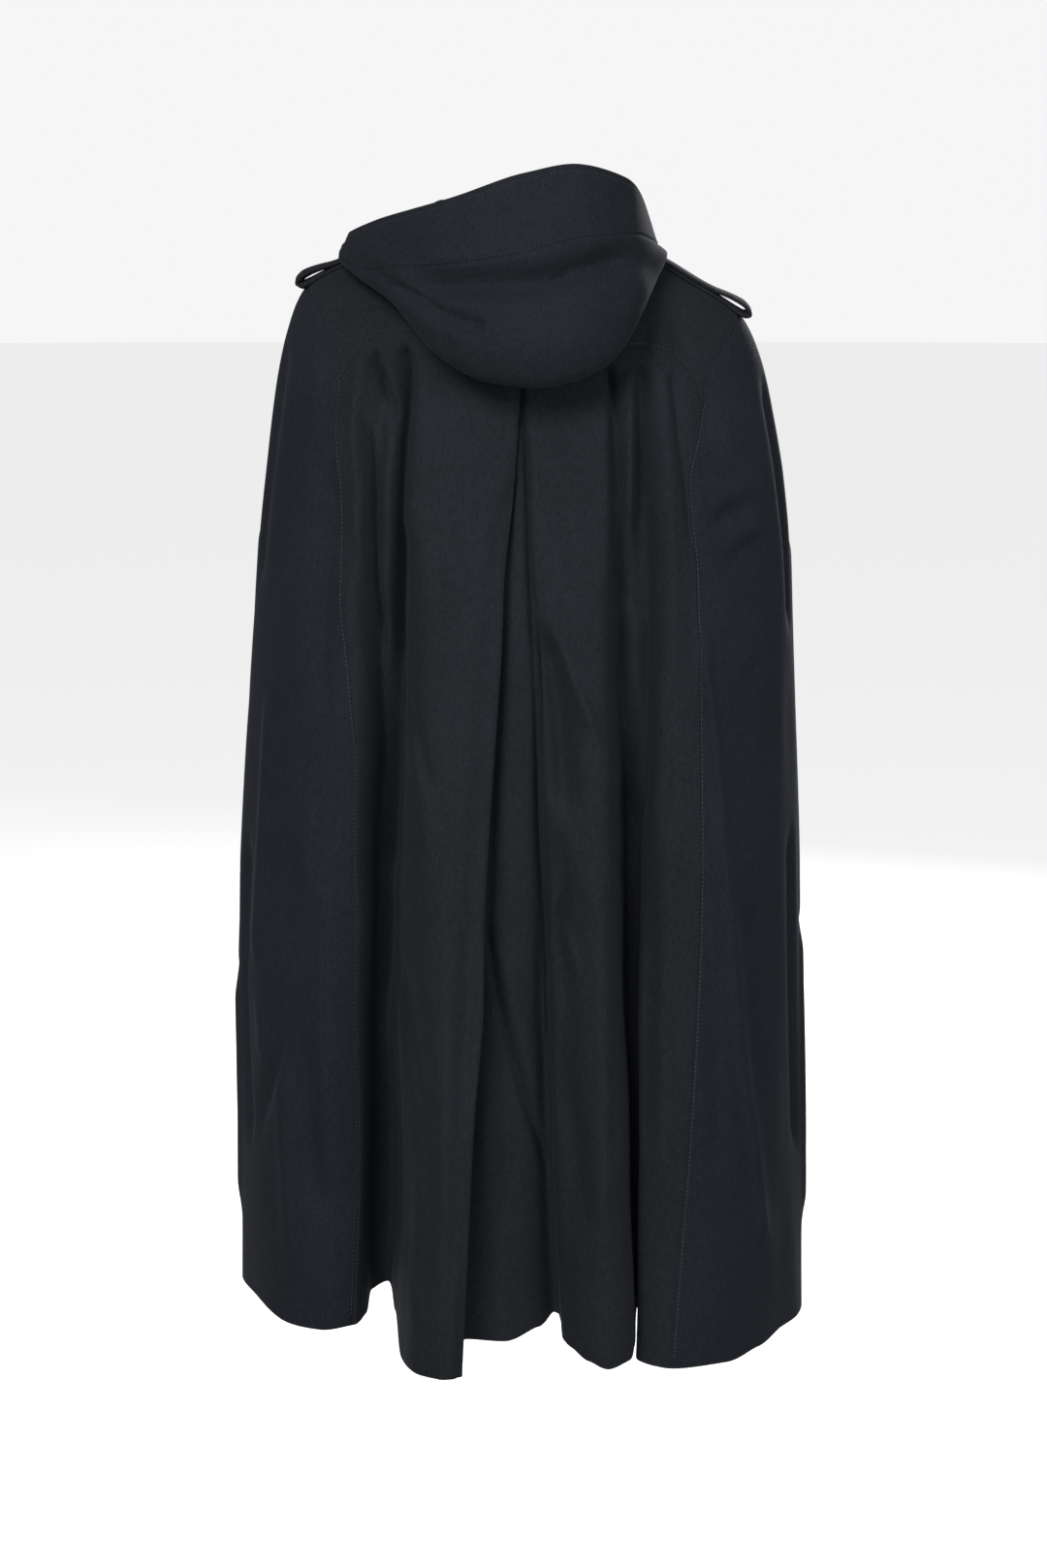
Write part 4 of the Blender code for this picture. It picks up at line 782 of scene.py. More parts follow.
def edgeDistances(grid):
    # how far each point lies from the four edges, along the cloth
    across = np.linalg.norm(np.diff(grid, axis=0), axis=-1)
    down = np.linalg.norm(np.diff(grid, axis=1), axis=-1)
    fromFirst = np.concatenate([np.zeros((1, grid.shape[1])), np.cumsum(across, axis=0)])
    fromTop = np.concatenate([np.zeros((grid.shape[0], 1)), np.cumsum(down, axis=1)], axis=1)
    return {
        "first": fromFirst, "last": fromFirst[-1:] - fromFirst,
        "top": fromTop, "bottom": fromTop[:, -1:] - fromTop,
    }


def wallOffsets(grid, sewn, free, wall, hem=False):
    # distances of the outer and the inner face from the middle layer
    far = edgeDistances(grid)
    outer = np.full(grid.shape[:2], wall * 0.5)
    inner = outer.copy()
    if hem:
        turned = smoothStep((bodyForm["hemTurn"] - far["bottom"]) / (2.4 * mm) + 0.5)
        outer += turned * 0.25 * (bodyForm["hemWall"] - wall)
        inner += turned * 0.75 * (bodyForm["hemWall"] - wall)
    for side in sewn:
        depth = bodyForm["grooveDepth"] * np.exp(-(far[side] / bodyForm["grooveWidth"]) ** 2)
        outer = np.minimum(outer, wall * 0.5 - depth)
    for side in free:
        for offset in (outer, inner):
            part = np.clip(1.0 - far[side] / offset, 0.0, 1.0)
            offset *= np.sqrt(np.maximum(1.0 - part * part, 0.0025))
    return outer, inner


def pulledIn(grid, sides):
    # moves the sewn edges in by half the seam gap
    result = grid.copy()
    half = bodyForm["seamGap"] * 0.5
    edges = {
        "first": ((0, slice(None)), (1, slice(None))),
        "last": ((-1, slice(None)), (-2, slice(None))),
        "top": ((slice(None), 0), (slice(None), 1)),
        "bottom": ((slice(None), -1), (slice(None), -2)),
    }
    for side in sides:
        edge, inner = edges[side]
        inward = grid[inner] - grid[edge]
        inward /= np.maximum(np.linalg.norm(inward, axis=-1, keepdims=True), 1e-9)
        result[edge] += inward * half
    return result


def wallMesh(name, grid, normals, outerOffset, innerOffset):
    # closes a grid of points into a wall, and gives it a map of the flat cloth in metres
    columns, rows = grid.shape[:2]
    outer = tilted(grid + normals * outerOffset[..., None])
    inner = tilted(grid - normals * innerOffset[..., None])
    verts = np.concatenate([outer.reshape(-1, 3), inner.reshape(-1, 3)])
    index = np.arange(columns * rows).reshape(columns, rows)
    quads = gridQuads(index)
    total = columns * rows
    rim = np.concatenate([index[:, 0], index[-1, 1:], index[-2::-1, -1], index[0, -2:0:-1]])
    nextRim = np.roll(rim, -1)
    sides = np.stack([rim, nextRim, nextRim + total, rim + total], axis=-1)
    faces = np.concatenate([quads, quads[:, ::-1] + total, sides])
    mesh = bpy.data.meshes.new(name)
    mesh.from_pydata(verts.tolist(), [], faces.tolist())
    far = edgeDistances(grid)
    middle = far["first"][:, rows // 2]
    flat = np.stack([np.broadcast_to(middle[:, None], (columns, rows)), -far["top"]], axis=-1).reshape(-1, 2)
    flat = np.concatenate([flat, flat])
    loops = np.zeros(len(mesh.loops), dtype=np.int32)
    mesh.loops.foreach_get("vertex_index", loops)
    layer = mesh.uv_layers.new(name="clothUv")
    layer.data.foreach_set("uv", flat[loops].astype(np.float32).ravel())
    mesh.validate()
    mesh.shade_smooth()
    mesh.set_sharp_from_angle(angle=math.radians(60.0))
    return mesh


def facesOut(mesh):
    # turns the mesh so that its faces look outwards
    bm = bmesh.new()
    bm.from_mesh(mesh)
    bmesh.ops.recalc_face_normals(bm, faces=bm.faces)
    bm.to_mesh(mesh)
    bm.free()


collection = bpy.context.scene.collection


def addPiece(name, mesh, material):
    facesOut(mesh)
    piece = bpy.data.objects.new(name, mesh)
    collection.objects.link(piece)
    mesh.materials.clear()
    mesh.materials.append(material)
    return piece


hanging = ("side_left", "back_left", "back_pleat_underlay", "back_right", "side_right")
sewnEdges = {name: ("first", "last", "top") for name in hanging}
sewnEdges.update(yoke_back=("first", "last", "bottom"), front_left=("last",), front_right=("first",))
freeEdges = {name: ("bottom",) for name in hanging}
freeEdges.update(yoke_back=("top",), front_left=("first", "top", "bottom"), front_right=("last", "top", "bottom"))


def dressedBody():
    # the body's grids with their creases, and the directions and face offsets of each wall
    grids = bodyGrids()
    names = list(grids)
    for name in names:
        grids[name] = wandered(drawnIn(grids[name]))
        grids[name] = grids[name] + creaseShift(grids[name]) + unevenShift(grids[name])
    normals = dict(zip(names, gridNormals([grids[name] for name in names])))
    for name in names:
        if name.startswith("back_") or name == "yoke_back":
            angle = np.abs(angleOf(grids[name]))
            fade = 1.0 - smoothStep(edgeDistances(grids[name])["bottom" if name == "yoke_back" else "top"] / 0.014)
            fade *= angle < bodyForm["levelSeamAngle"]
            normals[name][..., 2] *= 1.0 - fade
    return grids, normals


# materials
def newMaterial(name, values):
    material = bpy.data.materials.new(name)
    material.use_nodes = True
    shader = material.node_tree.nodes["Principled BSDF"]
    for title, value in values.items():
        shader.inputs[title].default_value = value
    return material, material.node_tree, shader


def addNode(tree, kind, inputs, **settings):
    # each input takes a value or the output that feeds it
    node = tree.nodes.new(kind)
    for title, value in settings.items():
        setattr(node, title, value)
    for title, value in inputs.items():
        if isinstance(value, bpy.types.NodeSocket):
            tree.links.new(value, node.inputs[title])
        else:
            node.inputs[title].default_value = value
    return node


def addRamp(tree, source, low, high, colours):
    ramp = addNode(tree, "ShaderNodeValToRGB", {"Fac": source})
    for element, position, colour in zip(ramp.color_ramp.elements, (low, high), colours):
        element.position = position
        element.color = tuple(colour) + (1.0,)
    return ramp.outputs["Color"]


woolLook = {
    "back": (0.0190, 0.0211, 0.0263),
    # the side wool is the same cloth painted darker and bluer: painted shade with a painted bluish sheen at the sides
    "side": (0.0176, 0.0203, 0.0266),
    # the hood wool is the same cloth painted darker: painted shade against the light falling on the hood
    "hood": (0.0170, 0.0194, 0.0247),
    "sheen": 0.035,
    "sheenTint": (0.42, 0.47, 0.58, 1.0),
    "roughness": 0.92,
    "napScale": 900.0,
    "mottleScale": 380.0,
    "mottle": 0.5,
    "napHeight": 0.35,
    "darkest": 0.66,
    "lightest": 1.36,
}


def woolMaterial(name, colour):
    material, tree, shader = newMaterial(name, {
        "Roughness": woolLook["roughness"], "Specular IOR Level": 0.08, "Sheen Weight": woolLook["sheen"],
        "Sheen Roughness": 0.45, "Sheen Tint": woolLook["sheenTint"],
    })
    place = addNode(tree, "ShaderNodeTexCoord", {}).outputs["Object"]
    drawn = addNode(tree, "ShaderNodeMapping", {"Vector": place, "Scale": (1.0, 1.0, 0.35)}).outputs["Vector"]

    def noise(source, scale, detail, roughness):
        inputs = {"Vector": source, "Scale": scale, "Detail": detail, "Roughness": roughness}
        return addNode(tree, "ShaderNodeTexNoise", inputs).outputs["Fac"]

    def worked(operation, *values):
        return addNode(tree, "ShaderNodeMath", dict(enumerate(values)), operation=operation).outputs[0]

    mottle = woolLook["mottle"]
    clouds = noise(place, 9.0, 3.0, 0.55)
    mottles = noise(place, woolLook["mottleScale"], 3.0, 0.6)
    nap = noise(place, woolLook["napScale"], 4.0, 0.62)
    fibres = noise(drawn, 420.0, 3.0, 0.7)
    mixed = worked("MULTIPLY_ADD", clouds, 0.35, worked("MULTIPLY", fibres, 0.65))
    centred = worked("SUBTRACT", worked("MULTIPLY_ADD", mottles, mottle, mixed), mottle * 0.5)
    colours = [[value * woolLook[end] for value in colour[:3]] for end in ("darkest", "lightest")]
    tree.links.new(addRamp(tree, centred, 0.25, 0.78, colours), shader.inputs["Base Color"])
    bump = addNode(tree, "ShaderNodeBump", {
        "Height": worked("ADD", nap, fibres), "Strength": woolLook["napHeight"], "Distance": 0.0006})
    tree.links.new(bump.outputs["Normal"], shader.inputs["Normal"])
    return material


materials = {name: woolMaterial(name + "Wool", woolLook[name]) for name in ("back", "side", "hood")}
print("stage: materials")

grids, normals = dressedBody()
print("stage: body form", {name: grid.shape[:2] for name, grid in grids.items()})
pieces = {}
outerFaces = {}
outerDirections = {}
for name, grid in grids.items():
    free = freeEdges[name]
    outer, inner = wallOffsets(grid, sewnEdges[name], free, bodyForm["clothWall"], "bottom" in free)
    outerFaces[name] = grid + normals[name] * outer[..., None]
    outerDirections[name] = normals[name]
    mesh = wallMesh(name + "_cloth", pulledIn(grid, sewnEdges[name]), normals[name], outer, inner)
    # the side panels take the side wool, whose darker, bluer colour is painted shade and painted sheen
    look = "side" if name.startswith("side") else "back"
    pieces[name] = addPiece(name + "_cloth", mesh, materials[look])
    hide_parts(name)
    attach(pieces[name], "root")
print("stage: body cloth", sum(len(piece.data.polygons) for piece in pieces.values()))

# hood
hoodForm = {
    "wall": 2.2 * mm,
    "columns": 230,
    "bodyRows": 84,
    "bandRows": 22,
    "endAngle": 173.6,
    "neckRise": 11.0 * mm,
    "lowRound": 11.0 * mm,
    "bulge": 0.8,
    "mostRound": 0.5,
    "mostBulge": 0.35,
    "clearance": 3.2 * mm,
    "overStrap": 0.8 * mm,
    "strapMargin": 0.25,
    "strapRamp": 12.0 * mm,
    "leastSize": 0.22,
    "layerStep": 5.6 * mm,
    "fullReach": 55.0 * mm,
}
HoodCut = namedtuple("HoodCut", "angle lowX lowY lowZ seamX seamY seamZ rimX rimY rimZ")
hoodCuts = [HoodCut(*row) for row in (
    (176, 0.0205, -0.085, -0.051, 0.0215, -0.088, -0.045, 0.0225, -0.088, -0.036),
    (160, 0.067, -0.081, -0.049, 0.07, -0.082, -0.041, 0.072, -0.077, -0.012),
    (135, 0.112, -0.062, -0.036, 0.116, -0.063, -0.028, 0.116, -0.058, 0.002),
    (105, 0.153, -0.014, -0.022, 0.157, -0.012, -0.017, 0.155, -0.014, -0.008),
    (78, 0.164, 0.045, -0.034, 0.166, 0.047, -0.028, 0.158, 0.038, -0.006),
    (52, 0.133, 0.112, -0.062, 0.137, 0.114, -0.039, 0.131, 0.094, 0.01),
    (26, 0.068, 0.172, -0.114, 0.064, 0.172, -0.029, 0.062, 0.148, 0.038),
    (0, -0.004, 0.187, -0.131, 0.004, 0.184, -0.015, 0, 0.164, 0.063),
    (-26, -0.07, 0.17, -0.111, -0.05, 0.176, 0.006, -0.048, 0.158, 0.074),
    (-52, -0.114, 0.112, -0.06, -0.101, 0.134, 0.014, -0.089, 0.129, 0.066),
    (-78, -0.134, 0.045, -0.024, -0.131, 0.066, 0.005, -0.116, 0.07, 0.044),
    (-105, -0.134, -0.01, -0.014, -0.136, -0.006, 0.001, -0.128, -0.001, 0.021),
    (-135, -0.104, -0.061, -0.033, -0.108, -0.062, -0.02, -0.106, -0.056, 0.003),
    (-160, -0.063, -0.08, -0.048, -0.066, -0.081, -0.04, -0.068, -0.077, -0.013),
    (-176, -0.0205, -0.085, -0.051, -0.0215, -0.088, -0.045, -0.0225, -0.088, -0.037),
)]
HoodStation = namedtuple("HoodStation", "base towards part round out up layers")
hoodStations = [HoodStation(*row) for row in (
    ("start", "start", 0, "roll", 0, 0, 0),
    ("start", "start", 0, "roll", 0, 0.45, 0),
    ("start", "start", 0, "roll", 0.55, 1, 0),
    ("roll", "low", 0.3, "fold", -0.3, 0, 0),
    ("roll", "low", 0.62, "fold", -0.62, 0, 0),
    ("roll", "low", 0.88, "fold", -0.88, 0, 0),
    ("low", "low", 0, "fold", -0.55, 0, 0),
    ("low", "low", 0, "fold", 0.45, 0.7, 0.6),
    ("low", "seam", 0.5, "bulge", 1, 0.25, 1),
    ("seam", "seam", 0, "fold", 0, 0, 1.5),
    ("seam", "rim", 0.5, "fold", 0, 0, 1.5),
    ("rim", "rim", 0, "fold", 0, 0, 1.5),
)]
hoodRollStation = 2
hoodSeamStation = 9

strapForm = {
    "width": 38.0 * mm,
    "wall": 3.2 * mm,
    "rows": 22,
    "columns": 170,
    "reach": 0.188,
    "leastFacing": 0.7,
    "slopeKept": 0.75,
    "above": 0.2,
    "turn": 10,
}
StrapPoint = namedtuple("StrapPoint", "out lift")
strapPath = [StrapPoint(*row) for row in (
    (0.098, 3.2), (0.108, 3.5), (0.118, 4.8), (0.13, 6.1), (0.146, 6.2), (0.161, 6.3), (0.173, 7.1), (0.182, 9.1),
    (0.191, 10.9), (0.1995, 11.2), (0.2065, 8.2), (0.2035, 4.2), (0.196, 3), (0.186, 2.7), (0.17, 2.7),
    (0.152, 2.7), (0.136, 2.7), (0.126, 2.7),
)]
StrapPlace = namedtuple("StrapPlace", "side centreY")
strapPlaces = {"epaulette_left": StrapPlace(1.0, 0.007), "epaulette_right": StrapPlace(-1.0, 0.013)}


def surfaceOf(grids, names):
    points, faces = [], []
    first = 0
    for name in names:
        grid = grids[name]
        columns, rows = grid.shape[:2]
        index = first + np.arange(columns * rows).reshape(columns, rows)
        first += columns * rows
        points.append(grid.reshape(-1, 3))
        faces.append(gridQuads(index))
    return BVHTree.FromPolygons(np.concatenate(points).tolist(), np.concatenate(faces).tolist())


def movedClear(surface, point, clearance):
    spot, normal, _, distance = surface.find_nearest(Vector(point))
    outward = Vector(point) - spot
    if outward.dot(normal) < 0.0:
        outward = normal
    if outward.dot(normal) > 0.0 and distance >= clearance and outward is not normal:
        return point
    return np.array(spot + outward.normalized() * clearance)


def hoodClearance(point):
    # the hood also rides over the shoulder straps
    place = strapPlaces["epaulette_left" if point[0] > 0 else "epaulette_right"]
    upper = strapPath[:strapForm["turn"]]
    lift = float(smoothValues(abs(point[0]), [row.out for row in upper], [row.lift for row in upper])) * mm
    overStrap = lift + strapForm["wall"] * 0.5 + hoodForm["wall"] * 0.5 + hoodForm["overStrap"]
    aside = (abs(point[1] - place.centreY) - strapForm["width"] * 0.5) / strapForm["width"]
    near = 1.0 - min(max((aside - hoodForm["strapMargin"]) * 2.0, 0.0), 1.0)
    near *= min(max((abs(point[0]) - strapPath[0].out) / hoodForm["strapRamp"] + 1.0, 0.0), 1.0)
    near = near * near * (3 - 2 * near)
    return hoodForm["clearance"] + max(overStrap - hoodForm["clearance"], 0.0) * near


def hoodLifted(surface, point, station):
    if station < hoodRollStation:
        return point
    layers = np.interp(station, range(len(hoodStations)), [row.layers for row in hoodStations])
    return movedClear(surface, point, hoodClearance(point) + hoodForm["layerStep"] * layers)


def stationPoints(cut, neck):
    low, seam, rim = cut[0:3], cut[3:6], cut[6:9]
    outward = low - neck
    outward[2] = 0.0
    reach = np.linalg.norm(outward)
    outward /= max(reach, mm)
    up = np.array([0.0, 0.0, 1.0])
    size = min(1.0, hoodForm["leastSize"] + reach / hoodForm["fullReach"])
    depth = np.linalg.norm(seam - low)
    fold = min(hoodForm["lowRound"] * size, hoodForm["mostRound"] * depth)
    bulge = min(hoodForm["bulge"] * fold, hoodForm["mostBulge"] * depth)
    rounds = {"roll": hoodForm["neckRise"] * size, "fold": fold, "bulge": bulge}
    bases = {"start": neck + up * 1.3 * mm, "low": low, "seam": seam, "rim": rim}
    points = []
    for row in hoodStations:
        base = bases[row.base] * (1.0 - row.part) + bases[row.towards] * row.part
        points.append(base + (outward * row.out + up * row.up) * rounds[row.round])
        bases["roll"] = points[min(hoodRollStation, len(points) - 1)]
    return points


def pathPoint(points, place):
    last = len(points) - 1
    index = min(int(place), last - 1)
    start, end = points[index], points[index + 1]
    before = points[index - 1] if index > 0 else 2 * start - end
    after = points[index + 2] if index + 2 <= last else 2 * end - start
    return curvePoints(before[None], start[None], end[None], after[None], place - index)[0]


def necklinePoints(grids):
    # the neckline's angles and points, from the left front round the back to the right front
    samples = [(float(angleOf(column[-1])), column[0]) for column in grids["yoke_back"][1:-1]]
    angles, outs = foldTracks()
    for side in ("left", "right"):
        ends = sorted((side + "FrontEdge", side + "FrontSeam"), key=foldIndex.get)
        places = columnPlaces(foldKnots(frontTracks(angles), outs), *ends)
        for place, column in zip(places, grids["front_" + side]):
            samples.append((foldMix(place, "neck"), column[0]))
    samples.sort(key=lambda sample: sample[0])
    return np.array([sample[0] for sample in samples]), np.array([sample[1] for sample in samples])


def hoodGrid(grids, surface):
    neckAngles, neckPoints = necklinePoints(grids)
    cutAngles = [cut.angle for cut in hoodCuts][::-1]
    table = np.array([cut[1:] for cut in hoodCuts][::-1]).T
    end = hoodForm["endAngle"]
    angles = np.linspace(end, -end, hoodForm["columns"] + 1)
    bodyPlaces = hoodSeamStation * np.linspace(0.0, 1.0, hoodForm["bodyRows"] + 1)
    bandPlaces = np.linspace(hoodSeamStation, len(hoodStations) - 1, hoodForm["bandRows"] + 1)
    places = np.concatenate([bodyPlaces, bandPlaces[1:]])
    columns = []
    for angle in angles:
        neck = np.array([np.interp(angle, neckAngles, neckPoints[:, axis]) for axis in range(3)])
        stations = stationPoints(smoothValues(angle, cutAngles, table), neck)
        stations = [hoodLifted(surface, point, station) for station, point in enumerate(stations)]
        columns.append([hoodLifted(surface, pathPoint(stations, place), place) for place in places])
    return angles, places, np.array(columns)


def smoothedGrid(grid, rounds, keepRows=()):
    # evens out small kinks inside the grid
    result = grid.copy()
    held = {row: grid[:, row].copy() for row in keepRows}
    for _ in range(rounds):
        middle = result[1:-1, 1:-1]
        near = (result[:-2, 1:-1] + result[2:, 1:-1] + result[1:-1, :-2] + result[1:-1, 2:]) * 0.25
        result[1:-1, 1:-1] = middle * 0.4 + near * 0.6
        for row, points in held.items():
            result[:, row] = points
    return result


# Troughs and ridges of the hood's outer layer, as (x, z) paths seen from the back.
hoodCreases = creaseRows("back", [
    (-15, 12, 0, 116, -50, 70, -46, 24, -42, -14, -37, -51, -26, -79, -17, -103, -12, -118, -8),
    (-4, 18, 0, 40, -52, -10, -48, -50, -36, -90, -22),
    (-8.5, 7.5, 0.2, 156, -29, 132, -40, 108, -53, 85, -65, 58, -76, 30, -82),
    (3.4, 8, 0, 118, -56, 98, -68, 76, -80, 48, -90), (3, 9, 0, 110, -32, 70, -26, 30, -18, -20, -8),
    (5, 20, 0, 60, -84, 30, -94, -10, -96, -50, -86, -80, -64),
    (4, 12, 0, -112, -20, -106, -36, -94, -56, -78, -76), (-3.4, 12, 0, 44, 26, 20, 12, -6, 4),
    (-3.4, 10, 0, 134, -12, 110, -18, 80, -20), (2.6, 13, 0, -38, 52, -46, 30, -40, 8),
    (-3, 9, 0, -78, 50, -86, 32, -84, 14),
])


def hoodShift(points, normals, places):
    outer = smoothStep((places - 6.4) / 1.2)
    flat = points.reshape(-1, 3)
    height = np.zeros(len(flat))
    for crease in hoodCreases:
        height += creaseHeight(crease, flat[:, [0, 2]])
    back = smoothStep((flat[:, 1] - 0.02) / 0.05)
    return -normals * (height * back).reshape(points.shape[:2])[..., None] * outer[None, :, None]


# The hood as it has settled: level (x, z) places, how far the cloth there has moved, and the reach.
Settle = namedtuple("Settle", "x z moveX moveZ reachX reachZ")
hoodSettles = [Settle(*row) for row in (
    (0.11, -0.078, 0, 0.01, 0.03, 0.034), (0.042, -0.12, 0, -0.0035, 0.022, 0.03),
    (-0.096, -0.07, 0, 0.0055, 0.03, 0.034),
)]
hoodSettleForm = {
    "firstPlace": 2.4,
    "placeRun": 2.0,
    "backStart": 0.015,
    "backRun": 0.05,
    "topDrop": 10.0 * mm,
    "topStart": -0.032,
    "topRun": 0.080,
    "rightMove": 12.0 * mm,
    "rightStart": 0.090,
    "rightRun": 0.045,
}


def settledHood(points, places):
    form = hoodSettleForm
    x, y, z = points[..., 0], points[..., 1], points[..., 2]
    layer = smoothStep((places - form["firstPlace"]) / form["placeRun"])[None, :]
    back = smoothStep((y - form["backStart"]) / form["backRun"]) * layer
    moved = points.copy()
    moved[..., 2] -= form["topDrop"] * smoothStep((z - form["topStart"]) / form["topRun"]) * layer
    right = smoothStep((-x - form["rightStart"]) / form["rightRun"])
    moved[..., 0] += form["rightMove"] * right * smoothStep((y + 0.06) / 0.06) * layer
    for settle in hoodSettles:
        near = np.exp(-((x - settle.x) / settle.reachX) ** 2 - ((z - settle.z) / settle.reachZ) ** 2) * back
        moved[..., 0] += settle.moveX * near
        moved[..., 2] += settle.moveZ * near
    return moved


def withCloseRows(grid, row, side):
    # slips in rows close to one row of a grid, towards its first rows (-1) or its last rows (1)
    row = row % grid.shape[1]
    start, step = grid[:, row], grid[:, row + side] - grid[:, row]
    length = np.linalg.norm(step, axis=-1, keepdims=True)
    extra = []
    for distance in closeRows:
        share = np.minimum(distance * mm / np.maximum(length, 1e-9), 0.22 * distance)
        extra.append(start + step * share)
    extra = np.stack(extra[::side], axis=1)
    cut = row + 1 if side > 0 else row
    return np.concatenate([grid[:, :cut], extra, grid[:, cut:]], axis=1)


hoodSurface = surfaceOf(grids, [name for name in grids if name != "back_pleat_underlay"])
hoodAngles, hoodPlaces, hoodPoints = hoodGrid(grids, hoodSurface)
hoodPoints = settledHood(smoothedGrid(hoodPoints, 5), hoodPlaces)
hoodPoints = hoodPoints + hoodShift(hoodPoints, gridNormals([hoodPoints])[0], hoodPlaces)
seamRow = hoodForm["bodyRows"]
hoodGrids = {
    "hood_body": withCloseRows(hoodPoints[:, :seamRow + 1], -1, -1),
    "hood_band": withCloseRows(withCloseRows(hoodPoints[:, seamRow:], 0, 1), -1, -1),
}
hoodNormals = dict(zip(hoodGrids, gridNormals(list(hoodGrids.values()))))
hoodEdges = {"hood_body": (("bottom",), ("first", "last")), "hood_band": (("top",), ("first", "last", "bottom"))}
for name, grid in hoodGrids.items():
    sewn, free = hoodEdges[name]
    inner, outer = wallOffsets(grid, sewn, free, hoodForm["wall"])
    outerFaces[name] = grid - hoodNormals[name] * inner[..., None]
    outerDirections[name] = -hoodNormals[name]
    mesh = wallMesh(name + "_cloth", pulledIn(grid, sewn), hoodNormals[name], outer, inner)
    # the hood takes the hood wool, painted darker as painted shade
    pieces[name] = addPiece(name + "_cloth", mesh, materials["hood"])
    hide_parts(name)
    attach(pieces[name], "root")
print("stage: hood", hoodPoints.shape)


# shoulder straps
def strapGrid(place, surface):
    points = [np.array([row.out, row.lift * mm]) for row in strapPath]
    half = strapForm["width"] * 0.5
    edge = np.array([0.0, 0.2, 0.7, 1.5, 2.6]) * mm
    middle = np.linspace(-half + 3.6 * mm, half - 3.6 * mm, strapForm["rows"])
    rows = np.concatenate([-half + edge, middle, half - edge[::-1]])
    columns = []
    for number in range(strapForm["columns"] + 1):
        out, lift = pathPoint(points, number * (len(points) - 1) / strapForm["columns"])
        column = []
        for depth in rows + place.centreY:
            above = Vector((place.side * min(out, strapForm["reach"]), depth, strapForm["above"]))
            spot, normal, _, _ = surface.ray_cast(above, Vector((0.0, 0.0, -1.0)))
            along = Vector((place.side * normal.z, 0.0, -abs(normal.x))).normalized()
            up = Vector((place.side * abs(normal.x), 0.0, normal.z)).normalized()
            square = max(up.dot(normal), strapForm["leastFacing"])
            spot = spot + along * max(out - strapForm["reach"], 0.0) + up * (lift / square)
            column.append(np.array(spot))
        columns.append(column)
    grid = np.array(columns)
    for axis in (0, 2):
        values = grid[..., axis]
        terms = np.stack([np.ones_like(rows), rows / half, (rows / half) ** 2], axis=1)
        fitted = np.linalg.lstsq(terms, values.T, rcond=None)[0]
        fitted[1] *= strapForm["slopeKept"]
        grid[..., axis] = (terms @ fitted).T
    return grid if place.side > 0 else grid[:, ::-1]


strapSurface = surfaceOf(grids, ["yoke_back", "front_left", "front_right", "side_left", "side_right"])
for name, place in strapPlaces.items():
    grid = smoothedGrid(strapGrid(place, strapSurface), 3)
    normal = gridNormals([grid])[0]
    outer, inner = wallOffsets(grid, (), ("first", "last", "top", "bottom"), strapForm["wall"])
    outerFaces[name] = grid + normal * outer[..., None]
    outerDirections[name] = normal
    pieces[name] = addPiece(name + "_cloth", wallMesh(name + "_cloth", grid, normal, outer, inner), materials["back"])
    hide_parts(name)
    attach(pieces[name], "root")
print("stage: straps")

# thread
threadLook = {
    # the stitches are real thread; the pale thread's lighter colour is a painted highlight along the back seams'
    # topstitching
    "pale": (0.052, 0.057, 0.068, 1.0),
    "dark": (0.017, 0.019, 0.023, 1.0),
    "roughness": 0.7,
    "length": 3.1 * mm,
    "pitch": 4.0 * mm,
    "radius": 0.34 * mm,
    "sunk": 0.05 * mm,
    "seed": 7,
}


def threadMaterial(name):
    material, tree, shader = newMaterial(name + "Thread", {"Roughness": threadLook["roughness"]})
    place = addNode(tree, "ShaderNodeTexCoord", {}).outputs["Object"]
    noise = addNode(tree, "ShaderNodeTexNoise", {"Vector": place, "Scale": 1500.0}).outputs["Fac"]
    colours = [[value * share for value in threadLook[name][:3]] for share in (0.75, 1.25)]
    tree.links.new(addRamp(tree, noise, 0.0, 1.0, colours), shader.inputs["Base Color"])
    return material


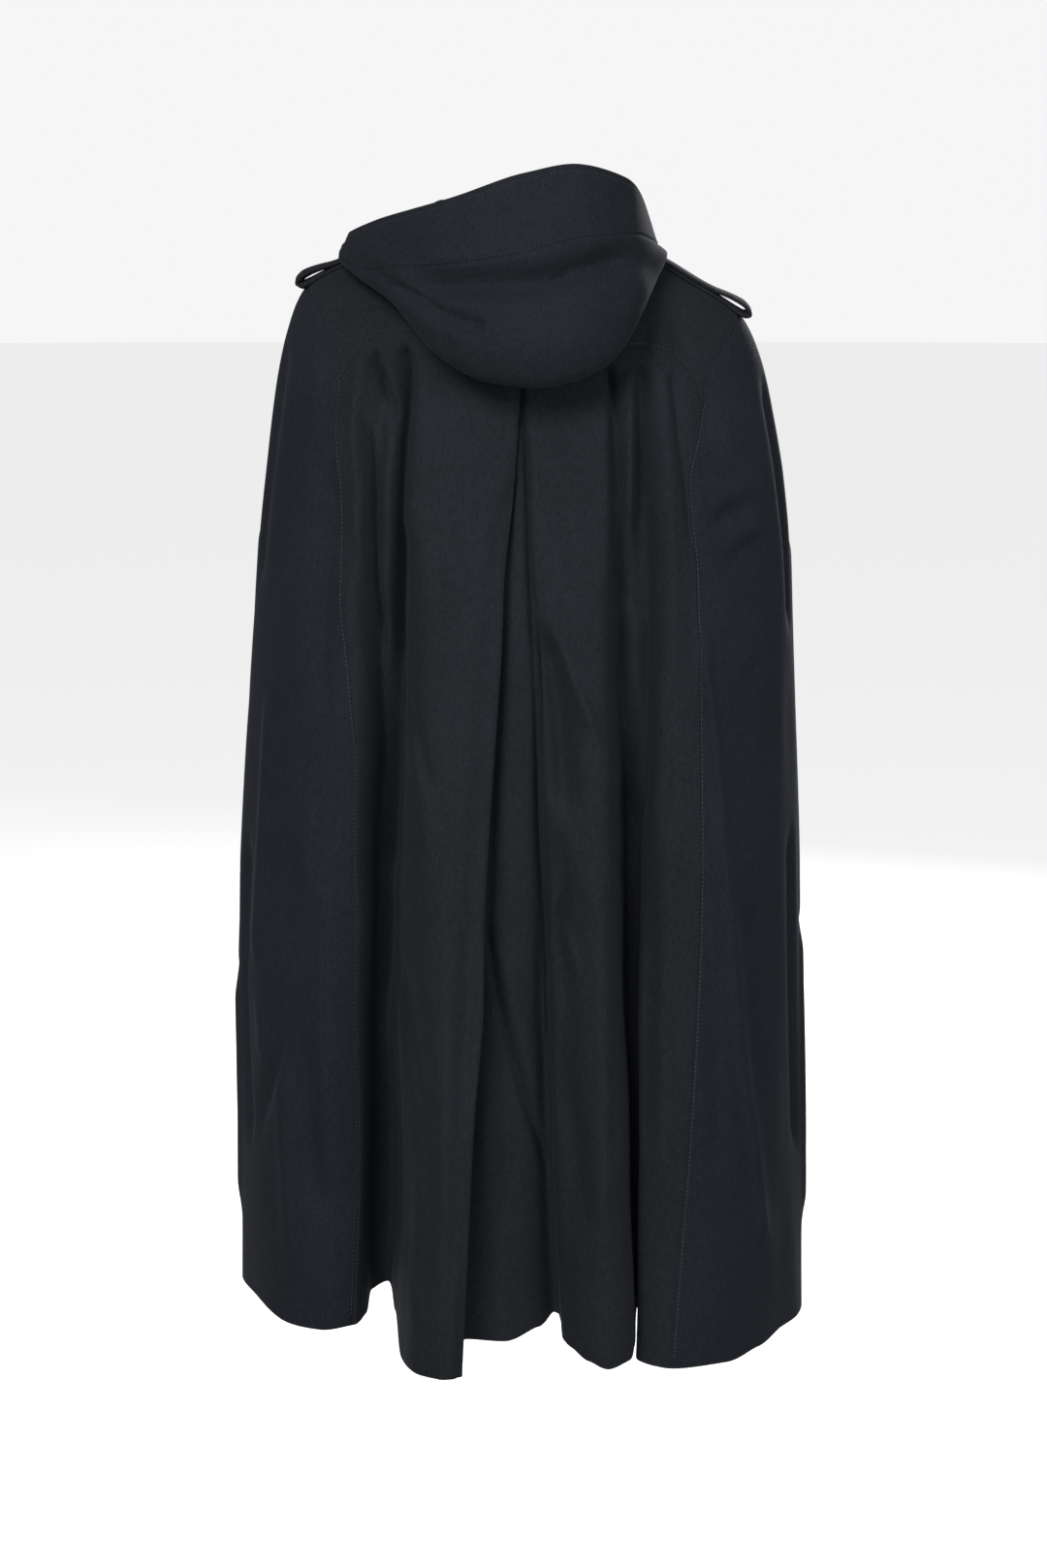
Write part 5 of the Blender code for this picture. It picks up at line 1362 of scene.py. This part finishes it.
def stitchTree():
    # one small rounded stitch on every point, lying along the seam
    tree = bpy.data.node_groups.new("stitches", "GeometryNodeTree")
    sockets = (("Geometry", "Geometry"), ("stitchLength", "Float"), ("threadRadius", "Float"), ("seed", "Int"),
               ("threadMaterial", "Material"))
    for title, kind in sockets:
        tree.interface.new_socket(title, in_out="INPUT", socket_type="NodeSocket" + kind)
    tree.interface.new_socket("Geometry", in_out="OUTPUT", socket_type="NodeSocketGeometry")
    given = tree.nodes.new("NodeGroupInput").outputs

    def named(title):
        attribute = addNode(tree, "GeometryNodeInputNamedAttribute", {"Name": title}, data_type="FLOAT_VECTOR")
        return attribute.outputs["Attribute"]

    points = addNode(tree, "GeometryNodeMeshToPoints", {"Mesh": given["Geometry"]}).outputs["Points"]
    ball = addNode(tree, "GeometryNodeMeshUVSphere", {"Segments": 6, "Rings": 6, "Radius": 1.0}).outputs["Mesh"]
    half = addNode(tree, "ShaderNodeMath", {0: given["stitchLength"], 1: 0.5}, operation="MULTIPLY").outputs[0]
    radius = given["threadRadius"]
    size = addNode(tree, "ShaderNodeCombineXYZ", {"X": half, "Y": radius, "Z": radius}).outputs["Vector"]
    shaped = addNode(tree, "GeometryNodeTransform", {"Geometry": ball, "Scale": size}).outputs["Geometry"]
    smooth = addNode(tree, "GeometryNodeSetShadeSmooth", {"Geometry": shaped}).outputs["Geometry"]
    turned = addNode(tree, "FunctionNodeAlignRotationToVector", {"Vector": named("along")}, axis="X")
    turned = addNode(tree, "FunctionNodeAlignRotationToVector",
                     {"Rotation": turned.outputs["Rotation"], "Vector": named("up")}, axis="Z", pivot_axis="X")
    varied = addNode(tree, "FunctionNodeRandomValue", {2: 0.9, 3: 1.06, "Seed": given["seed"]}, data_type="FLOAT")
    placed = addNode(tree, "GeometryNodeInstanceOnPoints", {
        "Points": points, "Instance": smooth, "Rotation": turned.outputs["Rotation"], "Scale": varied.outputs[1]})
    real = addNode(tree, "GeometryNodeRealizeInstances", {"Geometry": placed.outputs["Instances"]})
    painted = addNode(tree, "GeometryNodeSetMaterial",
                      {"Geometry": real.outputs["Geometry"], "Material": given["threadMaterial"]})
    addNode(tree, "NodeGroupOutput", {"Geometry": painted.outputs["Geometry"]})
    return tree


def addStitches(name, tree, places, along, up, material, length=None):
    # the stitches of one seam as one plain mesh
    mesh = bpy.data.meshes.new(name)
    mesh.from_pydata([tuple(place) for place in places], [], [])
    for title, values in (("along", along), ("up", up)):
        layer = mesh.attributes.new(title, "FLOAT_VECTOR", "POINT")
        layer.data.foreach_set("vector", np.ascontiguousarray(values, dtype=np.float32).ravel())
    piece = bpy.data.objects.new(name, mesh)
    collection.objects.link(piece)
    modifier = piece.modifiers.new("stitches", "NODES")
    modifier.node_group = tree
    values = {
        "stitchLength": length or threadLook["length"],
        "threadRadius": threadLook["radius"],
        "seed": threadLook["seed"],
        "threadMaterial": material,
    }
    for item in tree.interface.items_tree:
        if item.in_out == "INPUT" and item.name in values:
            modifier[item.identifier] = values[item.name]
    bpy.context.view_layer.update()
    finished = bpy.data.meshes.new_from_object(piece.evaluated_get(bpy.context.evaluated_depsgraph_get()))
    piece.modifiers.clear()
    piece.data = finished
    finished.name = name
    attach(piece, "root")
    return piece


def seamLine(name, side, distance):
    # places and outward directions on a panel's visible face, at one distance from an edge
    faces, directions = outerFaces[name], outerDirections[name]
    if side in ("first", "last"):
        faces, directions = faces.transpose(1, 0, 2), directions.transpose(1, 0, 2)
    if side in ("last", "bottom"):
        faces, directions = faces[:, ::-1], directions[:, ::-1]
    lengths = np.linalg.norm(np.diff(faces, axis=1), axis=-1)
    walked = np.concatenate([np.zeros((len(faces), 1)), np.cumsum(lengths, axis=1)], axis=1)
    places = [[np.interp(distance, walked[k], faces[k, :, axis]) for axis in range(3)] for k in range(len(faces))]
    ups = [[np.interp(distance, walked[k], directions[k, :, axis]) for axis in range(3)] for k in range(len(faces))]
    return np.array(places), np.array(ups)


def stitchPlaces(line, ups, start, end, pitch):
    lengths = np.linalg.norm(np.diff(line, axis=0), axis=1)
    walked = np.concatenate([[0.0], np.cumsum(lengths)])
    at = np.arange(start, walked[-1] - end, pitch)

    def valuesAt(values, where):
        return np.stack([np.interp(where, walked, values[:, axis]) for axis in range(3)], axis=-1)

    along = valuesAt(line, at + 0.8 * mm) - valuesAt(line, at - 0.8 * mm)
    along /= np.linalg.norm(along, axis=1, keepdims=True)
    up = valuesAt(ups, at)
    up /= np.linalg.norm(up, axis=1, keepdims=True)
    return tilted(valuesAt(line, at) - up * threadLook["sunk"]), along, up


StitchRow = namedtuple("StitchRow", "panel side distance thread start end")
stitchRows = [StitchRow(*row) for row in (
    # the two pale rows carry the painted highlight of the topstitching
    ("side_left", "last", 2.3, "pale", 4, 12),
    ("side_right", "first", 2.3, "pale", 4, 12),
    ("yoke_back", "bottom", 2.6, "dark", 6, 6),
    ("hood_band", "top", 2.6, "dark", 6, 6),
    ("hood_band", "bottom", 7, "dark", 8, 8),
    ("front_left", "first", 7, "dark", 10, 14),
    ("front_right", "last", 7, "dark", 10, 14),
    ("side_left", "first", 2.3, "dark", 4, 12),
    ("side_right", "last", 2.3, "dark", 4, 12),
    ("epaulette_left", "top", 4.5, "dark", 26, 60),
    ("epaulette_left", "bottom", 4.5, "dark", 26, 60),
    ("epaulette_right", "top", 4.5, "dark", 26, 60),
    ("epaulette_right", "bottom", 4.5, "dark", 26, 60),
)]
threads = {name: threadMaterial(name) for name in ("pale", "dark")}
stitchNodes = stitchTree()
for row in stitchRows:
    line, ups = seamLine(row.panel, row.side, row.distance * mm)
    places, along, up = stitchPlaces(line, ups, row.start * mm, row.end * mm, threadLook["pitch"])
    addStitches("stitches_" + row.panel + "_" + row.side, stitchNodes, places, along, up, threads[row.thread])
print("stage: stitches", len(stitchRows))

# buttons
buttonForm = {
    "count": 4,
    "radius": 11.0 * mm,
    "shank": 0.65 * mm,
    "half": 1.8 * mm,
    "sides": 56,
    "holeRadius": 0.95 * mm,
    "holePlace": 1.9 * mm,
    "strandRadius": 0.28 * mm,
    "holeStart": 3.0 * mm,
    "holeEnd": -20.0 * mm,
}
# the button's section: distance from its middle and height, in mm
buttonProfile = [
    (0.0, -1.8), (5.0, -1.8), (8.6, -1.8), (9.8, -1.65), (10.6, -1.2), (10.95, -0.5), (11.0, 0.2), (10.85, 0.9),
    (10.45, 1.45), (9.9, 1.75), (9.3, 1.8), (8.75, 1.6), (8.3, 1.2), (7.8, 0.9), (7.0, 0.72), (4.0, 0.6),
    (0.0, 0.58),
]


def buttonMaterial():
    # dark horn with slow streaks
    material, tree, shader = newMaterial("horn", {"Roughness": 0.55, "Specular IOR Level": 0.25})
    place = addNode(tree, "ShaderNodeTexCoord", {}).outputs["Object"]
    drawn = addNode(tree, "ShaderNodeMapping", {"Vector": place, "Scale": (1.0, 1.0, 0.3)}).outputs["Vector"]
    inputs = {"Vector": drawn, "Scale": 190.0, "Detail": 4.0, "Distortion": 1.2}
    noise = addNode(tree, "ShaderNodeTexNoise", inputs).outputs["Fac"]
    colours = ((0.009, 0.009, 0.010), (0.022, 0.020, 0.019))
    tree.links.new(addRamp(tree, noise, 0.35, 0.75, colours), shader.inputs["Base Color"])
    return material


def buttonMesh():
    # a turned button with a raised rim and four holes
    bm = bmesh.new()
    sides = buttonForm["sides"]
    rings = []
    for radius, height in buttonProfile:
        if radius == 0.0:
            rings.append([bm.verts.new((0.0, 0.0, height * mm))])
            continue
        turns = [2.0 * math.pi * number / sides for number in range(sides)]
        ring = [(radius * mm * math.cos(a), radius * mm * math.sin(a), height * mm) for a in turns]
        rings.append([bm.verts.new(point) for point in ring])
    for low, high in zip(rings, rings[1:]):
        for number in range(sides):
            after = (number + 1) % sides
            corners = [low[number % len(low)], low[after % len(low)]]
            corners += [high[after % len(high)], high[number % len(high)]]
            bm.faces.new(list(dict.fromkeys(corners)))
    mesh = bpy.data.meshes.new("buttonTurned")
    bm.to_mesh(mesh)
    bm.free()
    drill = bmesh.new()
    for x in (-1.0, 1.0):
        for y in (-1.0, 1.0):
            made = bmesh.ops.create_cone(drill, cap_ends=True, segments=20, radius1=buttonForm["holeRadius"],
                                         radius2=buttonForm["holeRadius"], depth=8.0 * mm)
            place = (x * buttonForm["holePlace"], y * buttonForm["holePlace"], 0.0)
            bmesh.ops.translate(drill, verts=made["verts"], vec=place)
    drillMesh = bpy.data.meshes.new("buttonHoles")
    drill.to_mesh(drillMesh)
    drill.free()
    turned = bpy.data.objects.new("buttonTurned", mesh)
    holes = bpy.data.objects.new("buttonHoles", drillMesh)
    for item in (turned, holes):
        collection.objects.link(item)
    cut = turned.modifiers.new("holes", "BOOLEAN")
    cut.operation = "DIFFERENCE"
    cut.solver = "EXACT"
    cut.object = holes
    bpy.context.view_layer.update()
    finished = bpy.data.meshes.new_from_object(turned.evaluated_get(bpy.context.evaluated_depsgraph_get()))
    bpy.data.objects.remove(turned)
    bpy.data.objects.remove(holes)
    return finished


def tubePoints(path, radius, sides=8):
    # rings of points round a path
    rings = []
    for index, place in enumerate(path):
        ahead = path[min(index + 1, len(path) - 1)] - path[max(index - 1, 0)]
        ahead = ahead / np.linalg.norm(ahead)
        aside = np.cross(ahead, (0.0, 1.0, 0.0))
        aside /= np.linalg.norm(aside)
        upward = np.cross(aside, ahead)
        size = radius * (0.35 if index in (0, len(path) - 1) else 1.0)
        turns = 2.0 * np.pi * np.arange(sides) / sides
        rings.append(place + size * (np.cos(turns)[:, None] * aside + np.sin(turns)[:, None] * upward))
    return np.array(rings)


def strandMesh(name):
    # the thread through the holes and the wrapped shank below
    verts, faces = [], []
    place, radius = buttonForm["holePlace"], buttonForm["strandRadius"]
    paths = []
    for y in (-place, place):
        for offset in (-0.42, 0.0, 0.42):
            across = np.linspace(-1.0, 1.0, 13)
            rise = (0.62 + 0.75 * np.sqrt(np.maximum(1.0 - np.abs(across) ** 3, 0.0))) * mm
            rise[[0, -1]] = -1.2 * mm
            paths.append((np.stack([across * place, np.full(13, y + offset * mm), rise], axis=-1), radius))
    paths.append((np.array([(0.0, 0.0, height * mm) for height in (-3.1, -2.9, -2.5, -2.1, -1.7, -1.5)]), 1.3 * mm))
    for path, size in paths:
        rings = tubePoints(path, size)
        first, sides = len(verts), rings.shape[1]
        verts += [tuple(point) for point in rings.reshape(-1, 3)]
        for ring in range(len(rings) - 1):
            for number in range(sides):
                after = (number + 1) % sides
                low, high = first + ring * sides, first + (ring + 1) * sides
                faces.append((low + number, low + after, high + after, high + number))
        faces.append(tuple(first + number for number in range(sides)))
        faces.append(tuple(first + (len(rings) - 1) * sides + number for number in range(sides))[::-1])
    mesh = bpy.data.meshes.new(name)
    mesh.from_pydata(verts, [], faces)
    mesh.shade_smooth()
    return mesh


def facingMatrix(place, outward):
    # a button's own +Z turned to face outwards, its +Y upwards
    across = Vector((0.0, 0.0, 1.0)).cross(outward).normalized()
    upward = outward.cross(across)
    turn = Matrix((across, upward, outward)).transposed().to_4x4()
    return Matrix.Translation(place) @ turn


frontFace = tilted(outerFaces["front_right"])
frontTree = surfaceOf({"front": frontFace}, ["front"])
horn = buttonMaterial()
plainButton = buttonMesh()
holePlaces, holeAlong, holeUp = [], [], []
for number in range(1, buttonForm["count"] + 1):
    name = "button_" + str(number)
    low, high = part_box(name)
    spot, outward, _, _ = frontTree.find_nearest((low + high) * 0.5)
    if outward.y > 0.0:
        outward = -outward
    matrix = facingMatrix(spot + outward * (buttonForm["shank"] + buttonForm["half"]), outward)
    mesh = plainButton.copy()
    mesh.transform(matrix)
    pieces[name] = addPiece(name + "_horn", mesh, horn)
    mesh.shade_smooth()
    mesh.set_sharp_from_angle(angle=math.radians(38.0))
    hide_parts(name)
    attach(pieces[name], "root")
    strands = strandMesh(name + "_thread")
    strands.transform(matrix)
    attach(addPiece(name + "_thread", strands, threads["dark"]), "root")
    for offset in np.arange(buttonForm["holeEnd"], buttonForm["holeStart"], 0.72 * mm):
        for side in (-1.0, 1.0):
            target = spot + Vector((offset, 0.0, side * 1.15 * mm))
            place, facing, _, _ = frontTree.find_nearest(target)
            holePlaces.append(place)
            holeAlong.append((0.0, 0.0, 1.0))
            holeUp.append(facing if facing.y < 0.0 else -facing)
addStitches("stitches_buttonholes", stitchNodes, holePlaces, holeAlong, holeUp, threads["dark"], 2.2 * mm)
print("stage: buttons")

# camera, light, floor
cameraForm = {
    "place": (0.0, 3.0, 0.0),
    "aim": (0.0, 0.0, -0.514),
    "lens": 73.6,
    "sensor": 36.0,
}


def addAimed(name, data, place, aim):
    item = bpy.data.objects.new(name, data)
    item.location = place
    item.rotation_euler = (Vector(aim) - Vector(place)).to_track_quat("-Z", "Y").to_euler()
    collection.objects.link(item)
    return item


def addCamera():
    data = bpy.data.cameras.new("mainCamera")
    data.sensor_fit = "AUTO"
    data.sensor_width = cameraForm["sensor"]
    data.lens = cameraForm["lens"]
    data.clip_end = 100.0
    bpy.context.scene.camera = addAimed("mainCamera", data, cameraForm["place"], cameraForm["aim"])


Lamp = namedtuple("Lamp", "name place aim size sizeY power colour")
lamps = [
    Lamp("keyLight", (1.00, 2.90, 1.45), (0.0, 0.0, -0.40), 1.25, 1.25, 78.0, (1.0, 0.99, 0.98)),
    Lamp("fillLight", (-2.1, 2.3, 0.2), (0.0, 0.0, -0.5), 1.4, 1.4, 22.0, (0.96, 0.98, 1.0)),
    Lamp("topLight", (0.0, 0.4, 2.2), (0.0, 0.0, 0.0), 1.4, 1.4, 4.0, (1.0, 1.0, 1.0)),
    Lamp("leftStrip", (2.2, -0.6, -0.3), (0.0, 0.0, -0.5), 0.5, 2.0, 1.1, (0.74, 0.84, 1.0)),
    Lamp("rightStrip", (-2.2, -0.4, -0.3), (0.0, 0.0, -0.5), 0.5, 2.0, 0.9, (0.78, 0.87, 1.0)),
    Lamp("levelLight", (0.15, 3.3, -0.05), (0.0, 0.0, -0.45), 0.7, 0.7, 11.0, (1.0, 1.0, 1.0)),
    Lamp("frontLight", (-1.3, -3.1, 0.9), (0.0, 0.0, -0.45), 1.0, 1.0, 92.0, (1.0, 1.0, 1.0)),
]


def addLamps():
    for lamp in lamps:
        data = bpy.data.lights.new(lamp.name, "AREA")
        data.shape = "RECTANGLE"
        data.size = lamp.size
        data.size_y = lamp.sizeY
        data.energy = lamp.power
        data.color = lamp.colour
        addAimed(lamp.name, data, lamp.place, lamp.aim)


floorForm = {
    "height": -1.40,
    "radius": 40.0,
    "sides": 96,
    "colour": (0.90, 0.90, 0.90, 1.0),
    "glow": 0.74,
}


def addFloor():
    # a wide pale disc with a glow of its own, so that it runs into the white beyond
    mesh = bpy.data.meshes.new("floor")
    bm = bmesh.new()
    bmesh.ops.create_circle(bm, cap_ends=True, segments=floorForm["sides"], radius=floorForm["radius"])
    bm.to_mesh(mesh)
    bm.free()
    floor = bpy.data.objects.new("floor", mesh)
    floor.location = (0.0, 0.0, floorForm["height"])
    floor.visible_diffuse = False
    collection.objects.link(floor)
    material, _, shader = newMaterial("paleFloor", {"Base Color": floorForm["colour"], "Roughness": 0.9})
    shader.inputs["Emission Color"].default_value = (1.0, 1.0, 1.0, 1.0)
    shader.inputs["Emission Strength"].default_value = floorForm["glow"]
    mesh.materials.append(material)


worldForm = {"seen": 0.92, "cast": 0.115}


def addWorld():
    # white all round, with less of it falling on the cloth than is seen
    world = bpy.data.worlds.new("paleWorld")
    bpy.context.scene.world = world
    world.use_nodes = True
    nodes, links = world.node_tree.nodes, world.node_tree.links
    cast = nodes["Background"]
    cast.inputs["Strength"].default_value = worldForm["cast"]
    cast.inputs["Color"].default_value = (1.0, 1.0, 1.0, 1.0)
    seen = nodes.new("ShaderNodeBackground")
    seen.inputs["Strength"].default_value = worldForm["seen"]
    seen.inputs["Color"].default_value = (1.0, 1.0, 1.0, 1.0)
    path = nodes.new("ShaderNodeLightPath")
    mix = nodes.new("ShaderNodeMixShader")
    links.new(path.outputs["Is Camera Ray"], mix.inputs["Fac"])
    links.new(cast.outputs[0], mix.inputs[1])
    links.new(seen.outputs[0], mix.inputs[2])
    links.new(mix.outputs[0], nodes["World Output"].inputs["Surface"])


addCamera()
addLamps()
addFloor()
addWorld()
bpy.context.scene.view_settings.view_transform = "Standard"
print("stage: camera and light")

# the fields of a sheet's flat cut: width, length, area, how it is held, what it rests on
Cut = namedtuple("Cut", "width length area held restsOn")

bpy.context.view_layer.update()
